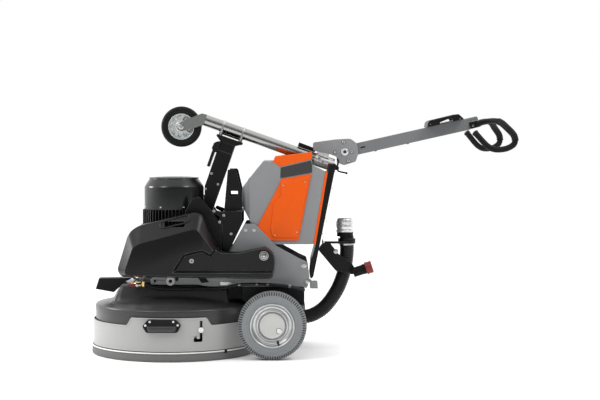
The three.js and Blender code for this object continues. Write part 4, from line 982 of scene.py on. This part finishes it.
def weight(name, side):
    body = f"weight_{name}"
    out = (0, side, 0)
    centre = Vector((SHAFT.x, 0, SHAFT.z))
    outline, face = rounded(OUTLINE, CORNERS), rounded(FACE, CORNERS)

    def level(t, y):
        points = [(a[0] + (b[0] - a[0]) * t, a[1] + (b[1] - a[1]) * t) for a, b in zip(outline, face)]
        return [centre + Vector((x, side * y, z)) for x, z in points]

    span = FACE_Y - EDGE_Y
    stops = ((0, BACK_Y), (0, EDGE_Y - 3), (0.012, EDGE_Y), (0.05, EDGE_Y + 3.4), (0.12, EDGE_Y + 7),
             (0.5, EDGE_Y + span * 0.5), (0.90, FACE_Y - 6.2), (0.955, FACE_Y - 3), (0.99, FACE_Y - 0.9),
             (1.02, FACE_Y))
    made = piece(body, skin(bmesh.new(), [level(t, y) for t, y in stops]), body, WEIGHT_PLASTIC, body)

    recess = [(-439, -74), (-394, -4), (-309, 16), (-264, -10), (-232, 38), (-112, 78), (88, 78), (88, -74)]
    rings = []
    for y, wider in ((FLOOR_Y, 0), (FACE_Y + 2, 14)):
        edge = rounded(grown(recess, wider), 10)
        rings.append([centre + Vector((x, side * y, z)) for x, z in edge])
    carve(made, skin(bmesh.new(), rings))
    carve(made, block(bmesh.new(), (SHAFT.x - 232, side * 100, SHAFT.z - 142),
                      (SHAFT.x + 88, side * 250, SHAFT.z + 118)))
    slot = rounded([(-499, 140), (-499, 170), (-394, 172), (-394, 142)], 8)
    carve(made, slab(bmesh.new(), around(SHAFT.x, SHAFT.z, slot), side * 150, side * 400))
    carve(made, turned(bmesh.new(), [(16.8, 0), (16.8, 250)], (SHAFT.x, side * 170, SHAFT.z), out, 48))
    soften(made, 1.6, 32)

    # The boss round the shaft, the rolled rim of the grip slot, and the screws.
    boss = [(r, side * y) for r, y in ((17, 192), (34, 192), (36, 194), (36, 249.5), (17, 249.5))]
    piece(f"{body}_boss", revolve(boss, centre, "Y", 64), body, WEIGHT_PLASTIC, sharp=35)

    def on_bevel(x, depth):
        """A point on the sloping top band, x from the pivot and depth down the band."""
        share = (x + 634) / 282
        top, bottom = 146 + 66 * share, 58 + 72 * share
        return centre + Vector((x, side * (EDGE_Y + span * depth + 1.0), top + (bottom - top) * depth))

    loop = [on_bevel(x, d) for x, d in ((-512, 0.10), (-450, 0.07), (-384, 0.06), (-374, 0.12),
                                        (-374, 0.40), (-384, 0.47), (-450, 0.47), (-500, 0.47),
                                        (-514, 0.40), (-518, 0.2))]
    mesh = ring_of_rings(bmesh.new(), smooth_path(loop + loop[:1], 60)[:-1], 4.6, 12)
    piece(f"{body}_grip_rim", mesh, body, WEIGHT_PLASTIC, sharp=60)
    mesh = bmesh.new()
    cap_screw(mesh, (SHAFT.x - 362, side * FLOOR_Y, SHAFT.z - 27.6), out, 8.6)
    cap_screw(mesh, (SHAFT.x + 20, side * FLOOR_Y, SHAFT.z - 92), out, 3.4)
    piece(f"{body}_screws", mesh, body, [BOLT_STEEL, GRIP_RUBBER_AND_SHADE], sharp=35)
    domed = [(12, -21.5), (23, -21.5), (23, -1), (22, 0.6), (19.6, 0.8), (19, -2), (16.2, -2),
             (15.6, 1.6), (12, 3), (10.6, 0.6), (8.6, 0.6), (7.8, 3.6), (4, 4.6), (0.1, 4.8), (0.1, -21.5)]
    mesh = revolve([(r, side * (CAP_Y + h)) for r, h in domed], centre, "Y", 64)
    # Faces in the grooves take the near-black material: painted shade.
    for face in mesh.faces:
        spot = face.calc_center_median() - centre
        r = math.hypot(spot.x, spot.z)
        face.material_index = int(any(inner < r < outer for inner, outer in CAP_SHADE_BANDS))
    piece(f"shaft_cap_{name}", mesh, "chassis", [ZINC, SEAM_AND_SHADE_BLACK], sharp=28)


def weight_shaft():
    end = high("weight_shaft").y - 20
    mesh = turned(bmesh.new(), [(15, -end), (16, 1 - end), (16, end - 1), (15, end)], SHAFT, (0, 1, 0), 48)
    piece("shaft_rod", mesh, "chassis", BRUSHED, "weight_shaft", sharp=30)


def ring_of_rings(mesh, path, radius, sides):
    """A round bar along a closed path."""
    rings = []
    across = Vector((0, 1, 0))
    for i, here in enumerate(path):
        along = (path[(i + 1) % len(path)] - path[i - 1]).normalized()
        across = (across - along * across.dot(along)).normalized()
        other = along.cross(across)
        angles = [TAU * k / sides for k in range(sides)]
        rings.append([mesh.verts.new(here + (across * math.cos(angle) + other * math.sin(angle)) * radius)
                      for angle in angles])
    return stitch(mesh, rings)


# ---------------------------------------------------------------- cabinet
PANEL = Vector((low("side_panel_left").x, 0, low("side_panel_left").z))
SHELL_LOW = low("cabinet_shell")
SHELL_HIGH = high("cabinet_shell")
REAR_LEAN = 0.168
REAR_FOOT = 566


def on_panel(points):
    """Side-panel outlines are given from the panel's lower front corner."""
    return around(PANEL.x, PANEL.z, points)


def cabinet():
    refine("cabinet_shell", GREY_PAINT, 1.6)
    refine("cabinet_lid", ORANGE, 2.0)
    refine("rear_frame", ORANGE, 1.6)
    refine("rear_cover", BLACK_PAINT, 2.0)
    for name, side in SIDES:
        refine(f"side_panel_{name}", ORANGE, 2.2)
        out = (0, side, 0)
        face = side * (abs(middle(f"side_panel_{name}").y) + 3.3)
        raised = [(124, 306), (129, 229), (90, 190), (73, 58), (84, 12), (212, 12), (272, 326), (140, 302)]
        edge = rounded(on_panel(raised), 7)
        x0, z0 = on_panel([(160, 170)])[0]
        rings = [[Vector((x0 + (x - x0) * size, face + side * depth, z0 + (z - z0) * size))
                  for x, z in edge] for depth, size in ((-2, 1.0), (0.5, 1.0), (4.2, 0.975), (5, 0.965))]
        piece(f"panel_field_{name}", skin(bmesh.new(), rings), "chassis", ORANGE, sharp=28)
        feet = [(x, face + side * 5, z) for x, z in on_panel([(208, 44), (96, 28), (250, 300), (138, 282)])]
        screws(f"panel_screws_{name}", "chassis", BOLT_STEEL, dome_screw, 4.6, feet, out)
        band = on_panel([(124, 318), (126, 372), (282, 409), (286, 378), (286, 347)])
        wall = side * SHELL_HIGH.y
        mesh = slab(bmesh.new(), rounded(band, 4), wall - side * 2, wall + side * 1.6)
        piece(f"dark_band_{name}", mesh, "chassis", COVER_PLASTIC, bevel=0.8)

    # The slanted door at the front of the cabinet's top, and its two locks.
    foot = Vector((SHELL_LOW.x, 0, SHELL_HIGH.z - 150))
    head = Vector((SHELL_LOW.x + 110, 0, SHELL_HIGH.z - 9))
    slope = (head - foot).normalized()
    out = Vector((-slope.z, 0, slope.x))
    turn = Matrix([(0, 1, 0), slope, out]).transposed()
    door = rounded([(-86, 10), (86, 10), (86, 132), (44, 132), (44, 108), (-44, 108), (-44, 132),
                    (-86, 132)], 7)
    mesh = skin(bmesh.new(), [[foot + turn @ Vector((a, b, c)) for a, b in door] for c in (-1, 2.6)])
    piece("cabinet_door", mesh, "chassis", GREY_PAINT, bevel=1.2)
    mesh = bmesh.new()
    for a in (-66, 66):
        turned(mesh, [(9, 0), (9, 1.4), (7.6, 2.6), (2.4, 2.6), (2.2, 1.2), (0.1, 1.2)],
               foot + turn @ Vector((a, 60, 2.6)), out, 28)
    piece("cabinet_locks", mesh, "chassis", ZINC)
    # Louvres under the door.
    mesh = bmesh.new()
    for k in range(5):
        lip = around(SHELL_LOW.x, foot.z - 22 - k * 14, [(1, 0), (-4.5, -6), (-4.5, -7.5), (1, -8)])
        slab(mesh, lip, -70, 70)
    piece("cabinet_louvres", mesh, "chassis", GREY_PAINT, bevel=0.5)
    # Domed screws along the rear cover's edges.
    back = Vector((1, 0, -REAR_LEAN)).normalized()
    foot_x = high("rear_cover").x - REAR_LEAN * (high("rear_cover").z - REAR_FOOT)
    feet = [(foot_x + REAR_LEAN * (z - REAR_FOOT), side * 143, z)
            for z in (600, 684, 768, 852, 936) for side in BOTH]
    screws("rear_cover_bolts", "chassis", BOLT_STEEL, dome_screw, 6, feet, back)


# ---------------------------------------------------------------- handle
SLEEVE_FROM = 602
SLEEVE_TO = 704
TRAY_H = 30.4
KNOBS_S = 480


def tube_fittings():
    span = SLEEVE_TO - SLEEVE_FROM
    inside, outside = TUBE_R + 0.3, TUBE_R + 3.4
    profile = [(inside, 0), (outside - 1.6, 0), (outside, 1.6), (outside, span - 2), (outside - 1.4, span),
               (inside, span)]
    mesh = turned_ring(bmesh.new(), profile, tube_point(SLEEVE_FROM), TUBE_ALONG, 72)
    web = [tube_point(SLEEVE_FROM + 12, 26), HANDLE + Vector((-160, 0, 43)),
           HANDLE + Vector((-76, 0, 49)), tube_point(SLEEVE_TO - 34, 26)]
    slab(mesh, [(p.x, p.z) for p in web], -33.4, 33.4)
    piece("sleeve", mesh, "chassis", BRIGHT_ALLOY, "tube_sleeve", sharp=30)
    # The lug that carries the tilt lever, and the strip that stays it to the joint plate.
    lug = [(140, 978), (176, 973), (197, 957), (193, 944), (180, 941), (140, 958)]
    mesh = slab(bmesh.new(), rounded(lug, 4), -42, -33)
    stay = [(183, 1003), (192, 1003), (197, 984), (192, 962), (184, 962), (186, 984)]
    slab(mesh, rounded(stay, 3), -48, -42.4)
    piece("lever_lug", mesh, "chassis", BLACK_PAINT, bevel=0.8)
    mesh = bmesh.new()
    for side in BOTH:
        for s, h in around(SLEEVE_FROM, 0, [(22, 12), (22, -12), (46, 0)]):
            cap_screw(mesh, tube_point(s, h, side * math.sqrt(33 ** 2 - h * h)), (0, side, 0), 5)
    piece("sleeve_screws", mesh, "chassis", [BOLT_STEEL, GRIP_RUBBER_AND_SHADE])
    # A stop block on top of the tube, under the arm's end.
    bar = [tube_point(s, h) for s, h in around(498, TUBE_R, [(0, 1), (94, 1), (94, 22), (0, 24)])]
    mesh = slab(bmesh.new(), rounded([(p.x, p.z) for p in bar], 4), -20, 20)
    piece("tube_block", mesh, "chassis", BLACK_PAINT, bevel=1.5)


def joint():
    outer = abs(low("joint_plate_left").y)
    for name, side in SIDES:
        refine(f"joint_plate_{name}", GREY_PAINT, 1.6)
        mesh = bmesh.new()
        # Each bolt's washer and socket take the near-black material: a painted shadow ring round the bolt
        # and painted shade in the socket.
        for dx, dz in ((-7, 50.5), (-50, -1), (36, 1), (18, -46)):
            cap_screw(mesh, (HANDLE.x + dx, side * outer, HANDLE.z + dz), (0, side, 0), 7, seat=1)
        piece(f"joint_bolts_{name}", mesh, "chassis", [BRIGHT_ALLOY, SEAM_AND_SHADE_BLACK], sharp=35)
    mesh = bmesh.new()
    for side in BOTH:
        spot = Vector((HANDLE.x, side * outer, HANDLE.z))
        turned(mesh, [(18, 0.2), (18.5, 0.8), (18.5, 2.4), (17.5, 3)], spot, (0, side, 0), 40)
        # The pivot's recessed middle takes the near-black material, painted shade in the recess.
        turned(mesh, [(13.5, 3), (13.5, 9), (12.4, 10.2), (8.4, 10.2), (7.6, 5), (0.1, 5)], spot,
               (0, side, 0), 40, [0, 0, 0, 1, 1])
    turned(mesh, [(10, 0), (10, 2 * outer)], (HANDLE.x, -outer, HANDLE.z), (0, 1, 0), 32)
    piece("pivot", mesh, "chassis", [BRIGHT_ALLOY, SEAM_AND_SHADE_BLACK], "pivot_bolt", sharp=35)


def handle_arm():
    refine("handle_arm", ARM_SHADED_GREY, 1.8)
    refine("handlebar_clamp", BLACK_PAINT, 2.0)
    refine("control_console", BLACK_PAINT, 1.0)
    half = abs(low("handle_arm").y)
    # Black patches on the arm's sides stand in for its slots: painted shade inside them.
    outline = rounded([(84, -1), (110, -1), (110, 6), (84, 6)], 3.4)
    slots = bmesh.new()
    bolts = bmesh.new()
    for side in BOTH:
        skin(slots, [[arm_point(s, h, side * y) for s, h in outline] for y in (half - 2, half + 0.6)])
        for s in (676, 700):
            cap_screw(bolts, arm_point(s, -14, side * 44), (0, side, 0), 4.4)
    piece("arm_slot_shade", slots, "handle", GRIP_RUBBER_AND_SHADE)
    piece("clamp_bolts", bolts, "handle", DARK_STEEL)
    feet = [arm_point(s, -30) for s in (159, 331)]
    screws("arm_underside_screws", "handle", GRIP_RUBBER_AND_SHADE, dome_screw, 7, feet, -ARM_UP)


def console():
    """What stands in the console's tray, whose floor is a step lower behind the side windows."""
    floor = TRAY_H
    turn = Matrix([ARM_ALONG, (0, 1, 0), ARM_UP]).transposed()

    def pad(s, y, half_s, half_y, height, finish, r):
        outline = rounded([(-half_s, -half_y), (half_s, -half_y), (half_s, half_y), (-half_s, half_y)], r)
        foot = arm_point(s, floor + 3, y)
        skin(mesh, [[foot + turn @ Vector((a * size, b * size, c)) for a, b in outline]
                    for c, size in ((-1, 1), (height - 0.6, 1), (height, 0.94))], finish)

    mesh = bmesh.new()
    pad(541, 0, 30, 76, 1.6, 0, 5)
    pad(547, 0, 19, 36, 2.4, 1, 3)
    for k in range(4):
        for y in (-62 + 14 * (k % 2), 48 + 14 * (k % 2)):
            pad(530 + 22 * (k // 2), y, 6, 5, 3.6, 2, 2)
    piece("console_panel", mesh, "handle", [BLACK_PAINT, SCREEN, GREY_PAINT], sharp=35)
    mesh = bmesh.new()
    for y in (-52, 52):
        turned(mesh, [(14, 0), (14, 2), (11.6, 3), (11.6, 12), (10.6, 14), (0.1, 14.4)],
               arm_point(KNOBS_S, floor + 7.5, y), ARM_UP, 36)
        pointer = arm_point(KNOBS_S, floor + 21.6, y)
        block(mesh, pointer + Vector((-9, -1.2, 0)), pointer + Vector((0, 1.2, 1.4)), 1)
    collar = [(12, -0.3), (21, -0.3), (21, 0.8), (12, 0.8)]
    turned_ring(mesh, collar, arm_point(KNOBS_S, floor + 8), ARM_UP, finish=2)
    piece("console_knobs", mesh, "handle", [GRIP_RUBBER_AND_SHADE, WHITE_NYLON, YELLOW], sharp=35)
    mushroom = [(9, 0), (9, 9.4), (15.4, 10.4), (17.6, 12), (18.2, 14.4), (17.6, 17), (14.6, 19),
                (9, 20.2), (0.1, 20.6)]
    mesh = turned(bmesh.new(), mushroom, arm_point(KNOBS_S, floor + 7.6), ARM_UP, 48)
    piece("stop_mushroom", mesh, "stop_button", STOP_RED, "emergency_stop", sharp=40)
    mesh = bmesh.new()
    for side in BOTH:
        for s, h in ((458, 13), (612, 7)):
            dome_screw(mesh, arm_point(s, floor + h, side * 95), (0, side, 0), 3.6)
    piece("console_screws", mesh, "handle", DARK_STEEL)


def handlebars():
    route = [(914, -40, 1180), (940, -62, 1190), (1003, -150, 1193), (1036, -226, 1162),
             (1070, -268, 1115), (1069, -272, 1082), (1036, -250, 1057), (978, -218, 1051),
             (946, -205, 1066), (882, -176, 1136)]
    grip_from, grip_to = 150, 326

    def thick(run):
        """The rubber grip is a little thicker than the bar, and ribbed."""
        if grip_from < run < grip_to:
            ends = min(run - grip_from, grip_to - run)
            return 17.2 + (1.1 if ends < 5 else 0.55 * math.cos(TAU * run / 7))
        return 15.0

    for name, side in SIDES:
        path = smooth_path([(x, -side * y, z) for x, y, z in route], 330)
        mesh = sweep(bmesh.new(), path, thick, 28)
        piece(f"bar_{name}", mesh, "handle", GRIP_RUBBER_AND_SHADE, f"handlebar_{name}", sharp=50)
        cap = [(16.4, -7), (17, -5), (17, -1), (15, 3), (9, 5.4), (0.1, 6)]
        mesh = turned(bmesh.new(), cap, path[-1], (path[-1] - path[-3]).normalized(), 32)
        piece(f"bar_cap_{name}", mesh, "handle", BLACK_PAINT, sharp=50)


def tilt_lever():
    """A bent rod on a hub, with a small ball at its end."""
    node_low, node_high = low("tilt_lock_lever"), high("tilt_lock_lever")
    y = node_low.y + 4
    hub = Vector((node_low.x + 10, y, node_high.z - 10))
    tip = Vector((node_high.x - 2, y, node_low.z + 5))
    mesh = turned(bmesh.new(), [(9, -14), (9, 5.5), (7.6, 7), (0.1, 7.4)], hub, (0, -1, 0), 28)
    sweep(mesh, smooth_path([hub, hub + Vector((4, 0, -12)), hub + Vector((14, 0, -17)), tip], 30), 4.2, 16)
    ball = [(3, -1), (5.4, 1), (6.2, 5), (5.4, 9), (3, 11), (0.1, 11.6)]
    turned(mesh, ball, tip, (0.92, 0, -0.38))
    piece("lever", mesh, "tilt_lever", BLACK_PAINT, "tilt_lock_lever", sharp=40)


# ---------------------------------------------------------------- suction and services
HOSE_R = 38
HOSE_PITCH = 9.2
HOSE_ROUTE = [(-302, 0, 304), (-284, 0, 315), (-240, 0, 310), (-160, 0, 270), (-70, 0, 204), (20, 0, 177),
              (105, 0, 212), (178, 0, 300), (222, 0, 405), (238, 0, 505), (238, 0, 597)]


def suction_hose():
    mesh = sweep(bmesh.new(), smooth_path(HOSE_ROUTE, 900),
                 lambda run: HOSE_R - 1.8 + 1.8 * math.cos(TAU * run / HOSE_PITCH), 40)
    piece("hose", mesh, "chassis", HOSE_RUBBER, "suction_hose", sharp=60)
    path = smooth_path(HOSE_ROUTE, 200)
    band = around(HOSE_R, 0, [(-3, -4.5), (1.6, -4.5), (1.6, 4.5), (-3, 4.5)])
    mesh = bmesh.new()
    for index in (5, -9):
        here = path[index]
        along = (path[index + 1] - path[index - 1]).normalized()
        for shift in (-6, 6):
            turned(mesh, band, here + along * shift, along, 48)
        screw = here + along.cross(Vector((0, 1, 0))) * (HOSE_R + 4)
        turned(mesh, [(4.5, -13), (5, -12), (5, 9), (6.5, 10), (6.5, 14)], screw, (0, 1, 0), 16)
    piece("hose_clamps", mesh, "chassis", ZINC, sharp=35)


def coupling():
    axis = (high("hose_coupling").x - 46, 0, 0)
    foot, top = low("hose_coupling").z, high("hose_coupling").z
    profile = around(0, foot, [(37, 0), (42.4, 0), (43.4, 1), (43.4, 6), (42, 7.5), (42, 14),
                               (43.4, 15.5), (43.4, 22), (37, 22)])
    piece("coupling_cuff", revolve(profile, axis), "chassis", GRIP_RUBBER_AND_SHADE, sharp=30)
    profile = around(0, foot + 22, [
        (37, 0), (45, 0), (46.6, 2), (46.6, 9), (45, 11), (42.4, 12), (42, 16), (43.6, 18), (44.6, 22),
        (44.6, 36), (43.4, 39), (41.6, 40), (41.6, 44), (43.8, 46), (44.2, 52)])
    profile += around(0, top, [(43.4, -12), (41.6, -6), (39.6, -2), (37.6, -0.2), (37, -0.6)])
    piece("coupling", revolve(profile, axis), "chassis", BRIGHT_ALLOY, "hose_coupling", sharp=30)
    # The cam lever at its side.
    hinge = Vector((low("hose_coupling").x + 6, 0, foot + 71))
    pin = [(4.6, -15), (5.4, -14), (5.4, 14), (4.6, 15)]
    mesh = turned(bmesh.new(), pin, hinge, (0, 1, 0))
    block(mesh, hinge + Vector((-3, -7, -22)), hinge + Vector((3, 7, 0)))
    piece("coupling_lever", mesh, "chassis", ZINC, sharp=30, bevel=0.8)


def power_inlet():
    start = Vector((268, low("power_inlet").y + 33, 414))
    along = Vector((98, 0, 32)).normalized()
    body = [(20, 0), (24, 1), (25, 3), (25, 12), (23.8, 13), (23.8, 16), (25, 17), (25, 52), (27, 54),
            (27, 64), (25, 66), (25, 70)]
    mesh = turned(bmesh.new(), body, start, along, 48)
    block(mesh, (254, start.y, 406), (282, -56.4, 428))
    piece("inlet_body", mesh, "chassis", GRIP_RUBBER_AND_SHADE, "power_inlet", sharp=35)
    flange = [(26, 68), (32, 69), (33, 71), (33, 77), (31, 79), (31, 94), (32, 96), (32, 101),
              (30, 103), (27, 102), (26, 80), (0.1, 80)]
    mesh = turned(bmesh.new(), flange, start, along, 56)
    piece("inlet_flange", mesh, "chassis", DARK_RED, sharp=35)
    mesh = bmesh.new()
    for k in range(5):
        spot = start + aligned(along) @ polar(15, TAU * k / 5, 79)
        turned(mesh, [(3, 0), (3, 15), (2, 17), (0.1, 17.4)], spot, along, 16)
    piece("inlet_pins", mesh, "chassis", BRASS)


def water():
    lever_low, lever_high = low("valve_lever"), high("valve_lever")
    z = middle("valve_lever").z
    entry = Vector((low("water_valve").x, middle("valve_lever").y + 21.5, z))
    stem = entry + Vector((30, 0, 0))
    towards = Vector((0, -1, 0))
    body = [(8, 0), (11, 0), (11.6, 1), (11.6, 3), (10, 4), (11.4, 6), (10, 8), (11.4, 10), (10, 12),
            (12, 15), (15, 18), (15.6, 24), (15.6, 38), (15, 44), (12, 47), (10, 50), (11.4, 52),
            (10, 54), (11.4, 56), (10, 58), (11, 61), (8, 62)]
    mesh = turned(bmesh.new(), body, entry, (1, 0, 0), 40)
    turned(mesh, [(9, -16), (9, -13), (6.5, -12), (6.5, 0)], stem, towards, 32)
    turned(mesh, [(6.5, 12), (6.5, 15.4)], stem, towards, 32)
    turned(mesh, [(7, 4), (7, 30)], stem + Vector((0, 0, 4)), (0, 1, 0))
    exit_nut = (high("water_valve").x - 8, entry.y, z)
    turned(mesh, [(14, -1), (15, 0), (15, 9), (13.6, 10)], exit_nut, (1, 0, 0), 6)
    piece("valve", mesh, "chassis", BRASS, "water_valve", sharp=35)
    hub_x = lever_high.x - 8
    upper = [(lever_low.x, z - 5), (lever_low.x + 30, z - 6.5), (hub_x, z - 9), (lever_high.x, z),
             (hub_x, z + 9), (lever_low.x + 30, z + 6.5), (lever_low.x, z + 5)]
    mesh = slab(bmesh.new(), rounded(upper, 5), lever_low.y, lever_low.y + 5)
    turned(mesh, [(8, 0), (8, 5)], (hub_x, lever_high.y, z), towards, 28)
    piece("valve_handle", mesh, "valve_lever", DARK_RED, "valve_lever", bevel=1.2)
    screws("valve_nut", "valve_lever", BOLT_STEEL, hex_bolt, 5, [(hub_x, lever_low.y, z)], towards)

    path = smooth_path([(-799, -186, 362), (-782, -186, 360), (-762, -186, 352), (-715, -181, 341),
                        (-620, -180, 340), (-480, -180, 341), (-400, -190, 343), (-340, -236, 362),
                        (-300, -256, 370), (-180, -262, 371), (-60, -262, 362), (16, -240, 341)], 160)
    piece("pipe", sweep(bmesh.new(), path, 8, 24), "chassis", HOSE_RUBBER, "water_pipe", sharp=60)
    band = [(8, -6), (9.6, -6), (9.6, -4), (9.0, -3.4), (9.0, 3.4), (9.6, 4), (9.6, 6), (8, 6)]
    mesh = bmesh.new()
    for x in (-309, -223, -168, -62):
        index = min(range(1, len(path) - 1), key=lambda i: abs(path[i].x - x))
        along = (path[index + 1] - path[index - 1]).normalized()
        turned(mesh, band, path[index], along, 32)
        turned(mesh, [(3.2, -5), (3.2, 5)], path[index] + Vector((0, 0, 11)), (0, 1, 0), 6)
    piece("pipe_clamps", mesh, "chassis", DARK_STEEL, sharp=35)
    screws("strut_bolt", "chassis", BOLT_STEEL, hex_bolt, 8, [(180, -56, 522)], towards, sharp=35)


# ---------------------------------------------------------------- studio
SOFTBOX = (-0.20, 0.72, 0.66)
SKY_DARK = 0.14
SKY_BRIGHT = 1.40


def studio():
    scene = bpy.context.scene
    world = bpy.data.worlds.new("studio")
    world.use_nodes = True
    tree = world.node_tree
    place = add_node(tree, "TexCoord", {}, "Generated")
    towards = add_node(tree, "VectorMath", {0: place, 1: SOFTBOX}, "Value", operation="DOT_PRODUCT")
    level = add_node(tree, "MapRange", {"Value": towards, "From Min": -0.55, "From Max": 0.40,
                                        "To Min": SKY_DARK, "To Max": SKY_BRIGHT}, "Result",
                     interpolation_type="SMOOTHSTEP")
    seen = add_node(tree, "LightPath", {}, "Is Camera Ray")
    plain = add_node(tree, "Mix", {"Factor": seen, "A": level, "B": 1.0}, "Result")
    feed(tree, tree.nodes["Background"], {"Strength": plain, "Color": (1, 1, 1, 1)})
    scene.world = world

    mesh = bmesh.new()
    bmesh.ops.create_grid(mesh, x_segments=1, y_segments=1, size=40)
    data = bpy.data.meshes.new("floor")
    mesh.to_mesh(data)
    mesh.free()
    floor = bpy.data.objects.new("floor", data)
    scene.collection.objects.link(floor)
    pale = bpy.data.materials.new("pale_floor")
    pale.use_nodes = True
    feed(pale.node_tree, pale.node_tree.nodes["Principled BSDF"],
         {"Base Color": (1, 1, 1, 1), "Roughness": 1.0, "Specular IOR Level": 0.0})
    floor.data.materials.append(pale)

    def set_up(name, data, spot, aim):
        """Puts a lamp or a camera at a spot, facing another."""
        made = bpy.data.objects.new(name, data)
        made.location = spot
        made.rotation_euler = (Vector(aim) - made.location).to_track_quat("-Z", "Y").to_euler()
        scene.collection.objects.link(made)
        return made

    for name, spot, aim, size, power in (
            ("key", (-3.6, -3.4, 4.0), (-0.2, 0, 0.5), 2.0, 70),
            ("rim", (-4.0, 0.6, 1.9), (-0.6, 0, 0.7), 1.2, 60),
            ("side", (2.2, -1.6, 3.4), (-0.3, 0, 0.5), 1.4, 40)):
        light = bpy.data.lights.new(name, "AREA")
        light.shape = "DISK"
        light.size = size
        light.energy = power
        set_up(name, light, spot, aim)

    camera = bpy.data.cameras.new("camera")
    camera.lens = 90
    camera.sensor_width = 36
    eye = Vector((-57.5, -7800, 1134)) * MM
    scene.camera = set_up("camera", camera, eye, Vector((-5.5, 0, 785.6)) * MM)
    scene.view_settings.view_transform = "Standard"


def build():
    dust_skirt()
    shroud_ring()
    for name, side in SIDES:
        grip_plate(name, side)
        lock_knob(name, side)
        main_wheel(name, side)
        weight(name, side)
    head_cover()
    for number in (1, 2, 3):
        tool_disc(number)
    for make in (motor, motor_cowl, support_wheel, chassis_details, weight_shaft, link_plates, top_tube,
                 mast_details, cabinet, tube_fittings, joint, handle_arm, console, handlebars, tilt_lever,
                 suction_hose, coupling, power_inlet, water, studio):
        make()


build()
